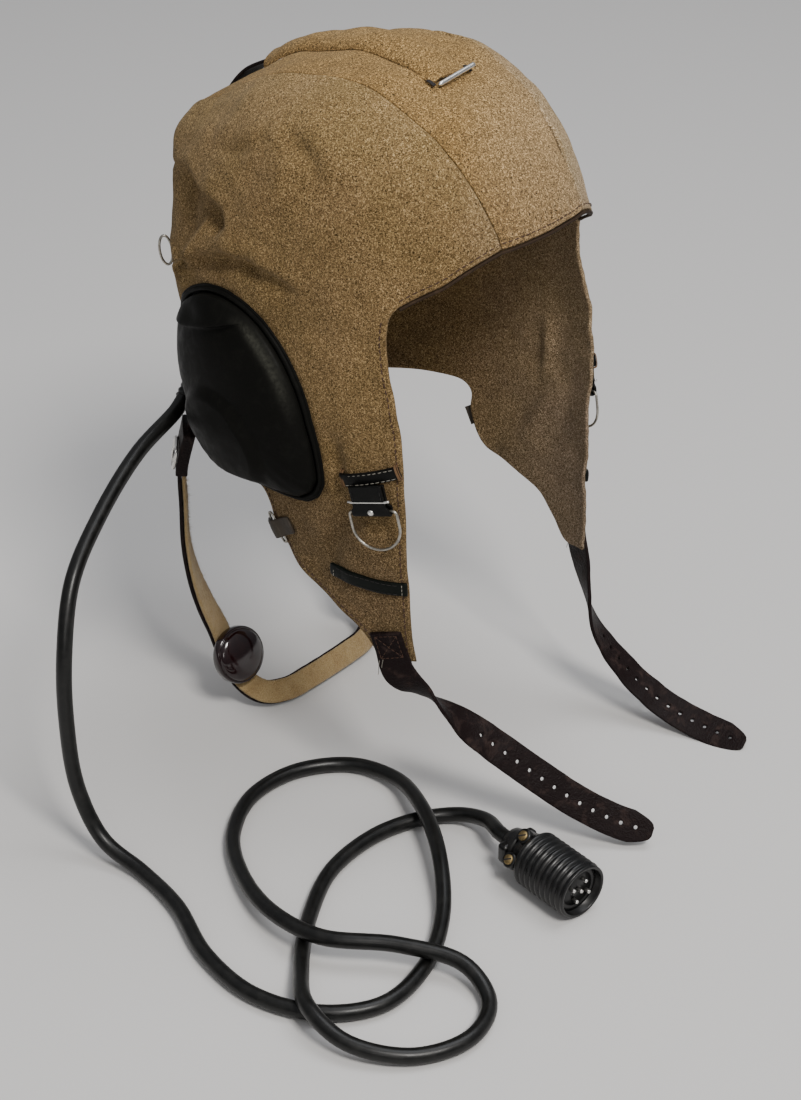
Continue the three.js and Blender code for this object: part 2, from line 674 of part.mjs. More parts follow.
function addRings() {
  const { middle, bar, hang, inward } = ringFrame();
  const place = (across, down) => middle.clone().addScaledVector(bar, across).addScaledVector(hang, down);
  const loop = [];
  for (const share of [-1, 0, 1]) loop.push(place(share * (RING.halfBar - RING.corner), 0));
  const arcSteps = 12;
  const straight = RING.drop - RING.halfBar;
  for (let i = 0; i <= arcSteps; i += 1) {
    const a = (i / arcSteps) * Math.PI;
    loop.push(place(RING.halfBar * Math.cos(a), straight + RING.halfBar * Math.sin(a)));
  }
  loop.splice(3, 0, place(RING.halfBar, RING.corner));
  loop.push(place(-RING.halfBar, RING.corner));
  const ring = ringWire(loop, RING.wire, 7);
  addPair('d_ring', ring, STEEL);

  // tab: a strip of leather folded round the bar, both plies running up under the band
  const bore = RING.wire + RING.clearance;
  const outer = bore + RING_TAB.leather;
  const tabShape = new THREE.Shape();
  tabShape.absarc(0, 0, outer, Math.PI, Math.PI * 2, false);
  tabShape.lineTo(outer, bore);
  tabShape.lineTo(outer - RING_TAB.thin, RING_TAB.taper);
  tabShape.lineTo(outer - RING_TAB.thin, RING_TAB.rise);
  tabShape.lineTo(-outer + RING_TAB.thin / 2, RING_TAB.rise);
  tabShape.lineTo(-outer, bore);
  const hole = new THREE.Path();
  hole.absarc(0, 0, bore, 0, Math.PI * 2, true);
  tabShape.holes.push(hole);
  const tab = new THREE.ExtrudeGeometry(tabShape, {
    depth: 2 * RING_TAB.halfWidth, bevelEnabled: false, curveSegments: 4,
  });
  tab.translate(0, 0, -RING_TAB.halfWidth);
  const up = sidePoint(RING_BAR.y + 2, RING_BAR.z + 8, RING_BAR.lift)
    .sub(sidePoint(RING_BAR.y, RING_BAR.z, RING_BAR.lift));
  up.addScaledVector(bar, -up.dot(bar)).normalize();
  const toward = up.clone().cross(bar).normalize();
  if (toward.dot(inward) < 0) toward.negate();
  const frame = new THREE.Matrix4().makeBasis(toward, up, toward.clone().cross(up)).setPosition(middle);
  tab.applyMatrix4(frame);
  const indexed = toGeometry(toSolid(tab));
  addPair('ring_tab', indexed, DARK_LEATHER);
}

// Small leather fold with a wire loop at each flap's rear edge, and wire rings at the nape
const HOOK_WIRE = { radius: 0.6, steps: 16, place: 0.36, halfLength: 8.3, halfWidth: 2.1 };

function addHooks() {
  const tab = bandOnSide(HOOK_TAB, 4);
  addPair('hook_tab', tab, DARK_LEATHER);

  const lift = SEAM_LIFT + BAND_THICKNESS + GAP + HOOK_WIRE.radius + 0.1;
  const { from, to } = HOOK_TAB;
  const tabLength = Math.hypot(to.y - from.y, to.z - from.z);
  const along = { y: (to.y - from.y) / tabLength, z: (to.z - from.z) / tabLength };
  const middle = {
    y: lerp(from.y, to.y, HOOK_WIRE.place),
    z: lerp(from.z, to.z, HOOK_WIRE.place),
  };
  const loop = Array.from({ length: HOOK_WIRE.steps }, (_, i) => {
    const a = (i / HOOK_WIRE.steps) * Math.PI * 2;
    const rise = HOOK_WIRE.halfLength * Math.sin(a);
    const reach = HOOK_WIRE.halfWidth * Math.cos(a);
    const y = middle.y + along.z * rise + along.y * reach;
    const z = middle.z - along.y * rise + along.z * reach;
    return sidePoint(y, z, lift);
  });
  const wire = ringWire(loop, HOOK_WIRE.radius, 5);
  addPair('hook_wire', wire, STEEL);
}

const NAPE_RING = { turn: -0.86, level: 18, height: 15, width: 6, wire: 0.65, steps: 12, seat: 1.3 };

function addNapeRings() {
  const turn = NAPE_RING.turn;
  const seat = formPoint(turn, downOf(NAPE_RING.level), NAPE_RING.seat);
  const out = headToWorld(formNormal(turn, downOf(NAPE_RING.level)));
  const up = v3(0, 0, 1).addScaledVector(out, -out.z).normalize();
  const loop = Array.from({ length: NAPE_RING.steps }, (_, i) => {
    const a = (i / NAPE_RING.steps) * Math.PI * 2;
    return seat.clone()
      .addScaledVector(out, (NAPE_RING.width / 2) * (1 + Math.cos(a)))
      .addScaledVector(up, (NAPE_RING.height / 2) * Math.sin(a));
  });
  const ring = ringWire(loop, NAPE_RING.wire, 5);
  addPair('nape_ring', ring, STEEL);
}

// Chin straps: long punched leather straps whose ends lie on the table. roll turns the face
// about the strap, 0 towards the front right above.
// The first two places of each are on the flap, where x and the facing come from the cloth.
const STRAP_WIDTH = 16.4;
const STRAP_THICKNESS = 1.9;
const NEAR_STRAP = [
  { y: -64, z: -145 }, { y: -67, z: -156 },
  { x: -72.8, y: -71, z: -166, roll: 26 }, { x: -69, y: -75.5, z: -173, roll: 48 },
  { x: -64, y: -80, z: -178.5, roll: 74 }, { x: -58.5, y: -90, z: -187, roll: 112 },
  { x: -53, y: -100, z: -196, roll: 146 }, { x: -45, y: -113, z: -208, roll: 166 },
  { x: -36, y: -129, z: -221, roll: 172 }, { x: -27, y: -145, z: -233, roll: 174 },
  { x: -17, y: -162, z: -242.5, roll: 176 }, { x: -8, y: -178, z: -247, roll: 178 },
];
const FAR_STRAP = [
  { y: -64, z: -145 }, { y: -67, z: -156 },
  { x: 74.6, y: -70, z: -169, roll: -116 }, { x: 74, y: -75, z: -188, roll: -96 },
  { x: 73.5, y: -83, z: -207, roll: -68 }, { x: 76, y: -95, z: -222, roll: -46 },
  { x: 79, y: -112, z: -236, roll: -32 }, { x: 82, y: -128, z: -244.5, roll: -24 },
  { x: 86, y: -146, z: -250, roll: -20 }, { x: 90, y: -169, z: -253, roll: -20 },
];
const HOLE_COUNT = 13;
const HOLE_RADIUS = 1;
const FIRST_HOLE = 0.43; // share of the strap's places
const LAST_HOLE = 0.93;

// Places along a strap, each with the way that its outer face looks
function strapPlaces(rows, side) {
  const toFrontRight = v3(-0.66, -0.55, 0.51);
  const across = new THREE.Vector3(side === RIGHT ? 1 : -1, 1, 1);
  const seat = STRAP_THICKNESS / 2 + 2 * GAP;
  const points = rows.map((r) => (r.roll === undefined
    ? sidePoint(r.y, r.z, seat).multiply(across)
    : v3(r.x, r.y, r.z)));
  const normals = rows.map((r, i) => {
    if (r.roll === undefined) return sideNormal(r.y, r.z).multiply(across);
    const t = tangentAt(points, i);
    const one = toFrontRight.clone().addScaledVector(t, -toFrontRight.dot(t)).normalize();
    const two = t.clone().cross(one);
    const roll = THREE.MathUtils.degToRad(r.roll);
    return one.multiplyScalar(Math.cos(roll)).addScaledVector(two, Math.sin(roll));
  });
  return { points, normals };
}

function chinStrap(rows, side) {
  const { points, normals } = strapPlaces(rows, side);
  const curve = new THREE.CatmullRomCurve3(points, false, 'centripetal');
  const facing = (share) => {
    const place = share * (normals.length - 1);
    const i = Math.min(normals.length - 2, Math.floor(place));
    return normals[i].clone().lerp(normals[i + 1], place - i).normalize();
  };
  const tip = 0.045;
  const width = (share) => STRAP_WIDTH * (share > 1 - tip ? Math.max(0.35, (1 - share) / tip) : 1);
  const strip = ribbon(curve.getPoints(26), facing, width, STRAP_THICKNESS, -STRAP_THICKNESS / 2);
  let strap = toSolid(strip);
  for (let i = 0; i < HOLE_COUNT; i += 1) {
    const share = lerp(FIRST_HOLE, LAST_HOLE, i / (HOLE_COUNT - 1));
    const p = curve.getPoint(share);
    const n = facing(share).multiplyScalar(2 * STRAP_THICKNESS);
    strap = strap.subtract(toSolid(cylinderAlong(p.clone().sub(n), p.clone().add(n), HOLE_RADIUS, 6)));
  }
  return toGeometry(strap);
}

function addChinStraps() {
  addMesh('chin_strap_right', chinStrap(NEAR_STRAP, RIGHT), DARK_LEATHER);
  addMesh('chin_strap_left', chinStrap(FAR_STRAP, LEFT), DARK_LEATHER);
}

// Throat collar: leather outside, felt inside, hanging behind the neck as one loop
const COLLAR = [
  { x: -70, y: 66, z: -81 }, { x: -70.5, y: 72, z: -103 }, { x: -69, y: 74, z: -126 },
  { x: -67, y: 76, z: -152 }, { x: -63, y: 76, z: -173 }, { x: -59, y: 73, z: -191 },
  { x: -54, y: 70, z: -207 }, { x: -50, y: 65.5, z: -225 }, { x: -48, y: 58, z: -239 },
  { x: -43, y: 48, z: -245.5 }, { x: -31, y: 42, z: -247.3 }, { x: -15, y: 40.5, z: -247.3 },
];
const COLLAR_WIDTH = 13;
const COLLAR_LEATHER = 1.7;
const COLLAR_FELT = 1.8;
const CAPSULE_ROW = 7;
const CAPSULE = { radius: 14.2, depth: 10, seat: 2 };

function collarPath() {
  const half = COLLAR.map((r) => v3(r.x, r.y, r.z));
  const other = half.map((p) => v3(-p.x, p.y, p.z)).reverse();
  return smoothPath([...half, v3(0, 40.3, -247.3), ...other], 60);
}

// The felt side looks at the neck, and turns forwards and upwards near the table
const COLLAR_TURN = { from: 150, to: 245, forward: 30, inward: 1.4, up: 0.65 };

function collarFacing(share, p) {
  const drop = THREE.MathUtils.smoothstep(-p.z, COLLAR_TURN.from, COLLAR_TURN.to);
  const inward = 1 - COLLAR_TURN.inward * drop;
  const level = v3(-p.x * inward, -p.y - COLLAR_TURN.forward * drop, 0).normalize();
  return level.add(v3(0, 0, COLLAR_TURN.up * drop));
}

function addCollar() {
  const path = collarPath();
  const outside = ribbon(path, collarFacing, COLLAR_WIDTH, COLLAR_LEATHER, -COLLAR_LEATHER - GAP);
  addMesh('mic_collar', outside, DARK_LEATHER);
  addMesh('mic_lining', ribbon(path, collarFacing, COLLAR_WIDTH - 0.8, COLLAR_FELT, GAP), FELT);

  const [before, spot, after] = [-1, 0, 1].map((i) => {
    const row = COLLAR[CAPSULE_ROW + i];
    return v3(row.x, row.y, row.z);
  });
  const t = after.sub(before).normalize();
  const n = collarFacing(0, spot);
  n.addScaledVector(t, -n.dot(t)).normalize();
  const seat = spot.clone().addScaledVector(n, 2 * GAP + COLLAR_FELT + CAPSULE.seat);
  const { radius, depth } = CAPSULE;
  const profile = [
    [0, 0], [radius - 1.5, 0], [radius, 1.5], [radius, 6],
    [radius - 1.2, 8.2], [radius - 4.5, 9.6], [0, depth],
  ].map(([x, y]) => new THREE.Vector2(x, y));
  const capsule = new THREE.LatheGeometry(profile, 20);
  capsule.applyQuaternion(new THREE.Quaternion().setFromUnitVectors(v3(0, 1, 0), n));
  capsule.translate(seat.x, seat.y, seat.z);
  const solid = toGeometry(toSolid(capsule));
  addPair('mic_capsule', solid, BURGUNDY);
}

// Leather tab from each cup's rear edge to the collar's end, and the buckle on the collar
const COLLAR_TAB = { width: 7, thickness: 1.8 };
const COLLAR_BUCKLE = { wide: 15.2, high: 11.2, wire: 0.9, lift: 3.2, steps: 20 };

function addCollarTabs() {
  const path = smoothPath([v3(-70.2, 65.8, -66.5), v3(-70.4, 65, -73), v3(-70, 65.6, -80.2)], 6);
  const facing = () => v3(-0.7, 0.7, 0);
  const tab = ribbon(path, facing, COLLAR_TAB.width, COLLAR_TAB.thickness, -COLLAR_TAB.thickness / 2);
  addPair('collar_tab', tab, DARK_LEATHER);

  const across = v3(0.7, 0.7, 0).normalize();
  const down = v3(-0.02, 0.25, -1).normalize();
  const out = v3(-0.7, 0.7, 0.2).normalize();
  const middle = v3(-70.6, 71, -98).addScaledVector(out, COLLAR_BUCKLE.lift);
  const corner = (a, b) => middle.clone()
    .addScaledVector(across, (a * COLLAR_BUCKLE.wide) / 2)
    .addScaledVector(down, (b * COLLAR_BUCKLE.high) / 2);
  const corners = [
    corner(-1, -0.9), corner(-1, 0.9), corner(0, 1.1), corner(1, 0.9), corner(1, -0.9), corner(0, -1.1),
  ];
  const loop = smoothPath(corners, COLLAR_BUCKLE.steps, true).slice(0, COLLAR_BUCKLE.steps);
  const buckle = ringWire(loop, COLLAR_BUCKLE.wire, 6);
  addPair('collar_buckle', buckle, STEEL);
}

// Cord: out of the right cup's back edge, down to the table, then in loose loops to the plug
const CORD_ROUTE = [
  [-66, 73, -70], [-103, 68, -83], [-139, 59, -100], [-168, 48, -118], [-184, 39, -146], [-189, 36, -181],
  [-189, 32, -218], [-188, 18, -242], [-186, -6, -250.6], [-193, -36, -250.6], [-209, -71, -250.6],
  [-214, -105, -250.6], [-204, -135, -250.6], [-182, -153, -250.6], [-152, -152, -250.6], [-120, -137, -249],
  [-93, -113, -242], [-70, -83, -241.5], [-54, -52, -248], [-57, -26, -250.6], [-79, -8, -250.6],
  [-108, -5, -250.6], [-137, -19, -250.6], [-159, -46, -248], [-174, -80, -243], [-174, -110, -241],
  [-155, -140, -241.5], [-143, -168, -245], [-150, -188, -250.6], [-173, -196, -250.6], [-198, -184, -250.6],
  [-213, -159, -247], [-211, -135, -242], [-190, -112, -248], [-159, -89, -250.6], [-126, -74, -250.6],
  [-92, -73, -250.6], [-68, -82, -250.6], [-55, -96, -249], [-55, -112, -244.5],
];
const GLAND = { root: v3(-55, 75, -64), rootRadius: 5, tipRadius: 4.6 };
const CORD_START_REACH = 2 * CORD_RADIUS; // the cord leaves the gland and the plug straight
const PLUG_RADIUS = 14.3;
const PLUG_AXIS_Z = TABLE_Z + PLUG_RADIUS + GAP;
const PLUG_REAR = v3(-66, -143.3, PLUG_AXIS_Z);
const PLUG_FRONT = v3(-73.1, -183, PLUG_AXIS_Z);
const PLUG = { ribs: 6, groove: 1.3, rim: 2.2, recess: 9, bore: 4.6 };
const PLUG_CLAMP = { length: 9, rear: 8, front: 10.5, earWide: 29, earThick: 5, earHigh: 10 };
const PLUG_PIN = { radius: 1, length: 3, circle: 5.6, count: 5, firstAngle: 0.5 };
const CLAMP_SCREW = { radius: 2.3, length: 1.6, place: 11.8 };

function plugAxis() {
  return PLUG_FRONT.clone().sub(PLUG_REAR).normalize();
}

function cordEnd() {
  return PLUG_REAR.clone().addScaledVector(plugAxis(), -PLUG_CLAMP.length - 2 * GAP);
}

function addCord() {
  const start = v3(...CORD_ROUTE[0]);
  const out = start.clone().sub(GLAND.root).normalize();
  const end = cordEnd();
  const route = CORD_ROUTE.map(([x, y, z]) => v3(x, y, z));
  route.splice(1, 0, start.clone().addScaledVector(out, CORD_START_REACH));
  route.push(end.clone().addScaledVector(plugAxis(), -CORD_START_REACH), end);
  const section = new THREE.Shape();
  section.absarc(0, 0, CORD_RADIUS, 0, Math.PI * 2, false);
  const tube = new THREE.ExtrudeGeometry(section, {
    steps: 78, curveSegments: 5, bevelEnabled: false,
    extrudePath: new THREE.CatmullRomCurve3(route, false, 'centripetal'),
  });
  addMesh('cord', tube, RUBBER);

  // tapered sleeve at the cup's rear edge, where the cord comes out
  const tip = start.clone().addScaledVector(out, -GAP);
  addMesh('cord_gland', cylinderAlong(GLAND.root, tip, GLAND.rootRadius, 12, GLAND.tipRadius), RUBBER);
}

// Plug. Its pieces are made along +y and laid along the plug's own axis.
function plugPlace(geometry, along) {
  const turn = new THREE.Quaternion().setFromUnitVectors(v3(0, 1, 0), plugAxis());
  geometry.applyQuaternion(turn);
  return geometry.translate(...PLUG_REAR.clone().addScaledVector(plugAxis(), along).toArray());
}

function addPlugBody(length) {
  const { ribs, groove, rim, recess, bore } = PLUG;
  const outline = [[PLUG_CLAMP.front, 0]];
  const pitch = (length - 3) / ribs;
  for (let i = 0; i < ribs; i += 1) {
    const start = 1 + i * pitch;
    outline.push([PLUG_RADIUS - groove, start]);
    outline.push([PLUG_RADIUS, start + groove], [PLUG_RADIUS, start + pitch - groove]);
  }
  outline.push([PLUG_RADIUS - 1, length], [PLUG_RADIUS - rim, length]);
  outline.push([PLUG_RADIUS - rim, length - recess], [bore, length - recess]);
  outline.push([bore, 0], [PLUG_CLAMP.front, 0]);
  const body = new THREE.LatheGeometry(outline.map(([x, y]) => new THREE.Vector2(x, y)), 20);
  addMesh('plug_body', toGeometry(toSolid(plugPlace(body, 0))), BAKELITE);
}

function addPlugFace(length) {
  const radius = PLUG_RADIUS - PLUG.rim - GAP;
  const thickness = 5;
  const back = length - PLUG.recess + GAP;
  const insert = new THREE.CylinderGeometry(radius, radius, thickness, 20);
  addMesh('plug_insert', plugPlace(insert, back + thickness / 2), BAKELITE);
  for (let i = 0; i < PLUG_PIN.count; i += 1) {
    const outer = PLUG_PIN.count - 1; // the last pin stands in the middle
    const angle = PLUG_PIN.firstAngle + (i / outer) * Math.PI * 2;
    const circle = i < outer ? PLUG_PIN.circle : 0;
    const pin = new THREE.CylinderGeometry(PLUG_PIN.radius, PLUG_PIN.radius, PLUG_PIN.length, 8);
    pin.translate(circle * Math.cos(angle), 0, circle * Math.sin(angle));
    addMesh(`plug_pin_${i + 1}`, plugPlace(pin, back + thickness + GAP + PLUG_PIN.length / 2), STEEL);
  }
}

// Rear clamp: a collar round the cord with an ear on each side, held by two screws
function addPlugClamp() {
  const { length, rear, front, earWide, earThick, earHigh } = PLUG_CLAMP;
  const collar = toSolid(new THREE.CylinderGeometry(front, rear, length, 20));
  const ears = toSolid(new THREE.BoxGeometry(earWide, earThick, earHigh));
  const middle = -length / 2 - GAP;
  addMesh('plug_clamp', plugPlace(toGeometry(collar.add(ears)), middle), BAKELITE);
  for (const [i, sign] of [RIGHT, LEFT].entries()) {
    const screw = new THREE.CylinderGeometry(CLAMP_SCREW.radius, CLAMP_SCREW.radius, CLAMP_SCREW.length, 10);
    screw.translate(sign * CLAMP_SCREW.place, -(earThick + CLAMP_SCREW.length) / 2 - GAP, 0);
    addMesh(`clamp_screw_${i + 1}`, plugPlace(screw, middle), BRASS);
  }
}

function addPlug() {
  const length = PLUG_FRONT.distanceTo(PLUG_REAR);
  addPlugBody(length);
  addPlugFace(length);
  addPlugClamp();
}

addPanels();
addBrowBinding();
addTopChannel();
addChannelBar();
addCrownStrap();
addEarCups();
addEarPiping();
addBands();
addRings();
addHooks();
addNapeRings();
addChinStraps();
addCollar();
addCollarTabs();
addCord();
addPlug();

export default part;
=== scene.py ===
"""Looks of a cloth flying helmet with leather ear cups, chin straps, throat collar and cord.

Shapes are worked out in millimetres in the frame of the part: +Z up, the face along -Y, the
wearer's right side at -X, the origin in the middle of the head at the level of the temples.
"""

import math

import bpy
import numpy as np
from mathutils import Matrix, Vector, geometry, kdtree


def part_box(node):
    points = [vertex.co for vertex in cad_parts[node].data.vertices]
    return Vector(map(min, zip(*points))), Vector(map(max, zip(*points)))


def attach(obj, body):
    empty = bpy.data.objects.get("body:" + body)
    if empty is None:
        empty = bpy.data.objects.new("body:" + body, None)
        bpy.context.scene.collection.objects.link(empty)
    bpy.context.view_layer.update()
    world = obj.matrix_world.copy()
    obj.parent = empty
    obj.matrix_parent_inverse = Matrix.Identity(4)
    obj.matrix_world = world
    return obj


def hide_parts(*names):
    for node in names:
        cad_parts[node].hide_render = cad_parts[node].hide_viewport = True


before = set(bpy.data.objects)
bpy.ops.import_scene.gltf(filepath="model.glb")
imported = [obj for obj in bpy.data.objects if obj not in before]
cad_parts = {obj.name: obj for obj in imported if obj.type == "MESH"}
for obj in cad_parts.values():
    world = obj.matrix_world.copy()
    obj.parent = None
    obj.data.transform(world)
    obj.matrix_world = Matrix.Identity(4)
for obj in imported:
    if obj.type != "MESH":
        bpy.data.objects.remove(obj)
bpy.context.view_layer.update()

MM = 0.001
TAU = 2 * math.pi
# Sign of x on either side of the head
RIGHT, LEFT = -1, 1
# Level of the table
TABLE_Z = -255.0

# Camera


def camera_axes(azimuth, pitch):
    """Directions of the camera: back towards it, right in the picture, up in the picture."""
    a, p = math.radians(azimuth), math.radians(pitch)
    back = Vector((math.sin(a) * math.cos(p), -math.cos(a) * math.cos(p), math.sin(p)))
    right = Vector((math.cos(a), math.sin(a), 0))
    return back, right, back.cross(right)


def make_camera():
    """Camera of the photograph, found from the helmet's outline in it."""
    azimuth, pitch, distance, lens, sensor = -50, 31, 1048, 72, 36
    picture = Vector((801, 1100))
    origin_px = Vector((383, 264))
    mm_per_px = distance * sensor / (lens * picture.y)
    back, right, up = camera_axes(azimuth, pitch)
    place = back * distance
    place -= right * (origin_px.x - picture.x / 2) * mm_per_px
    place += up * (origin_px.y - picture.y / 2) * mm_per_px
    data = bpy.data.cameras.new("camera")
    data.lens = lens
    data.sensor_width = sensor
    camera = bpy.data.objects.new("camera", data)
    camera.location = place * MM
    camera.rotation_euler = (-back).to_track_quat("-Z", "Y").to_euler()
    bpy.context.scene.collection.objects.link(camera)
    bpy.context.scene.camera = camera


# Head form, the same as the solids stand on

HEAD_TILT = math.radians(13)
CROWN_HEIGHT = 106.0
HEM_LEVEL = -195.0
# Thickness of the cloth, and the gap kept between pieces
CLOTH = 1.8
GAP = 0.3
# Level, half width, place of the widest line, reach to the front, reach to the back
HEAD_SLICES = np.array([
    (0, 84.5, 0, 106, 104.5),
    (-45, 86, -3, 105, 100),
    (-85, 82, -8, 100, 90),
    (-125, 78, -8, 90, 74),
    (HEM_LEVEL, 75, 5, 72, 80),
])
SLICE_POWER = 2.25
DOME_SIDE, DOME_FRONT, DOME_BACK = 3.1, 2.1, 2.7

# Folds of the cloth in the head frame: from (y, z) to (y, z), spread, height, on the sides only
FOLDS = [
    (34, 29, 2, 27, 6.5, -2.6, 1),     # arch over the ear cup
    (2, 27, -16, 18, 6, -1.6, 1),      # end of the arch
    (60, 14, 36, 42, 8, 2.6, 1),       # crest behind it
    (52, 62, 36, 54, 15, -2.6, 1),     # hollow behind the ear
    (66, 74, 74, 60, 17, 3.6, 1),      # back shoulder
    (22, 80, -8, 76, 9, -1.4, 1),      # upper dent
    (40, 98, 74, 80, 24, -4.5, 0),     # flat of the crown
]
# Finer creases that only the cloth shows, head frame: line of (y, z), spread, height, on the sides only
CREASES = [
    (((58, 10), (46, 19.5), (40.4, 23.4), (33, 24.8), (16.3, 26.6), (2.2, 22.8), (-13.8, 17)), 4.0, -2.2, 1),
    (((24, 80), (18, 79), (8.4, 78), (-2, 80)), 4.5, -1.7, 1),
    (((-19, 84), (-24, 80.4), (-30, 76.3), (-37, 70), (-41, 62)), 5.5, -1.8, 1),
    (((-14, 86), (-20, 76), (-28, 66)), 6.0, 0.9, 1),
    (((-2, 69), (-8, 68), (-13, 66), (-20, 63)), 4.5, -1.1, 1),
    (((8, 70), (2, 58), (0, 46)), 7.0, 0.8, 1),
    (((-8, 50), (-20, 44), (-34, 40)), 6.5, -0.9, 1),
    (((-6, 40), (-22, 32), (-38, 30)), 6.0, 0.7, 1),
    (((-33, -84), (-29, -92), (-18, -103), (-7, -115), (9, -124.5), (14, -128)), 6.0, -4.4, 1),
    (((-40, -100), (-28, -112), (-14, -126)), 6.0, 1.6, 1),
    (((-29, -50), (-28, -62.4), (-27, -70.5), (-24, -79.4), (-20, -88)), 4.2, -2.6, 1),
    (((-36, -58), (-33, -68), (-30, -80)), 4.0, 0.6, 1),
    (((-40, -14), (-34, 2), (-30, 14)), 8.0, -0.9, 1),
    (((-52, -40), (-49, -24), (-46, -8)), 7.0, 0.6, 1),
    (((-28, 97), (-44, 91), (-58, 83)), 4.5, 0.8, 0),
    (((-60, 84), (-72, 74), (-84, 62)), 6.0, 0.6, 0),
    (((48, 96), (57, 90), (64, 83), (70, 75), (73, 70)), 8.0, 4.4, 1),
    (((75, 71), (78, 62), (78, 50), (77, 38), (76, 30)), 13.0, -4.0, 1),
]
# Overhanging folds: the line of the fold's foot, how fast it rises over it, how far it fades, height
OVERHANGS = [
    (((70, 4.5), (58, 15), (50.6, 21.4), (40.4, 26.6), (33, 28.4), (16.3, 30.5), (2.2, 26.8), (-13.8, 21.5),
      (-28, 11)), 3.0, 15, 4.8),
    (((30, 79), (18, 76), (8.4, 75), (-4, 78), (-10, 82)), 4.0, 14, 2.0),
    (((-17, 86), (-24, 80.4), (-30, 76.3), (-37, 70), (-42, 60)), 5.0, 16, 1.8),
    (((4, 66), (-6, 65), (-14, 62), (-24, 56)), 5.0, 16, 1.4),
]
# Edge of the slack hollow behind the ear, from its top round to its foot, and its far side
HOLLOW_EDGE = np.array([
    (62, 67), (45.4, 68.5), (33.3, 60), (24.8, 57), (14.5, 52.6), (12.4, 47), (12.2, 42), (17, 38.5),
])
HOLLOW_BACK = np.array([(25, 39.5), (32, 41), (40, 31.6), (49, 20), (62, 22), (84, 40), (84, 64)])
HOLLOW_DEPTH, HOLLOW_RIDGE = 8.5, 1.9
# Folds of the sides fade in between these distances from the middle plane
SIDE_FADE = (22, 48)
# Overhanging folds fade out between these places towards the back
OVERHANG_END = (52, 68)
# Slow swells of the cloth: height, wavelength, seed
SWELLS = ((0.62, 34, 5), (0.26, 16, 8))
# Plane waves in each swell
WAVES = 9


def vec(*parts):
    return np.stack(np.broadcast_arrays(*[np.asarray(p, float) for p in parts]), -1)


def unit(v):
    """A vector, or each row of vectors, brought to length 1."""
    v = np.asarray(v, float)
    return v / np.linalg.norm(v, axis=-1, keepdims=True)


def read_at(s, step, table):
    """Row of a table at s, read between the rows, which lie at step."""
    return np.stack([np.interp(s, step, column) for column in table.T], -1)


def tilt(p, sign):
    """Head frame to world (sign 1) or back (sign -1)."""
    c, s = math.cos(HEAD_TILT), sign * math.sin(HEAD_TILT)
    return vec(p[..., 0], p[..., 1] * c + p[..., 2] * s, -p[..., 1] * s + p[..., 2] * c)


def slice_at(level):
    """Half width, widest place, front and back reach at a level below the temples."""
    levels = HEAD_SLICES[::-1, 0]
    return [np.interp(np.minimum(level, 0), levels, HEAD_SLICES[::-1, i]) for i in range(1, 5)]


def level_of(down):
    return np.where(down <= 1, CROWN_HEIGHT * np.cos(down * math.pi / 2), HEM_LEVEL * (down - 1))


def down_of(level):
    level = np.asarray(level, float)
    dome = np.arccos(np.clip(level / CROWN_HEIGHT, -1, 1)) / (math.pi / 2)
    return np.where(level >= 0, dome, 1 + level / HEM_LEVEL)


def plain_point(turn, down):
    """Head frame point of the smooth form: turn 0 is the right side, a quarter turn the face."""
    turn, down = np.broadcast_arrays(np.asarray(turn, float), np.asarray(down, float))
    level = level_of(down)
    c, s = np.cos(turn), np.sin(turn)
    size = (np.abs(c) ** SLICE_POWER + np.abs(s) ** SLICE_POWER) ** (-1 / SLICE_POWER)
    end = np.where(s > 0, DOME_FRONT, DOME_BACK)
    power = DOME_SIDE + (end - DOME_SIDE) * s * s
    dome = np.maximum(0, 1 - np.clip(level / CROWN_HEIGHT, 0, 1) ** power) ** (1 / power)
    shrink = np.where(level > 0, dome, 1)
    half, middle, front, back = slice_at(level)
    reach = np.where(s > 0, front + middle, back - middle)
    return vec(-half * size * c * shrink, (middle - reach * size * s) * shrink, level)


def smoothstep(value, low, high):
    t = np.clip((value - low) / (high - low), 0, 1)
    return t * t * (3 - 2 * t)


def nearest_on(y, z, line):
    """Distance from a polyline, positive on its left, and the share of it walked there."""
    line = np.asarray(line, float)
    lengths = np.hypot(*(line[1:] - line[:-1]).T)
    walked = np.concatenate([[0], np.cumsum(lengths)])
    best = np.full(np.shape(y), 1e9)
    sign, share = np.ones(np.shape(y)), np.zeros(np.shape(y))
    for (y1, z1), (y2, z2), length, before in zip(line[:-1], line[1:], lengths, walked):
        dy, dz = y2 - y1, z2 - z1
        along = np.clip(((y - y1) * dy + (z - z1) * dz) / length ** 2, 0, 1)
        away = np.hypot(y - y1 - along * dy, z - z1 - along * dz)
        closer = away < best
        sign = np.where(closer, np.sign((z - z1) * dy - (y - y1) * dz), sign)
        share = np.where(closer, (before + along * length) / walked[-1], share)
        best = np.where(closer, away, best)
    return best * sign, share


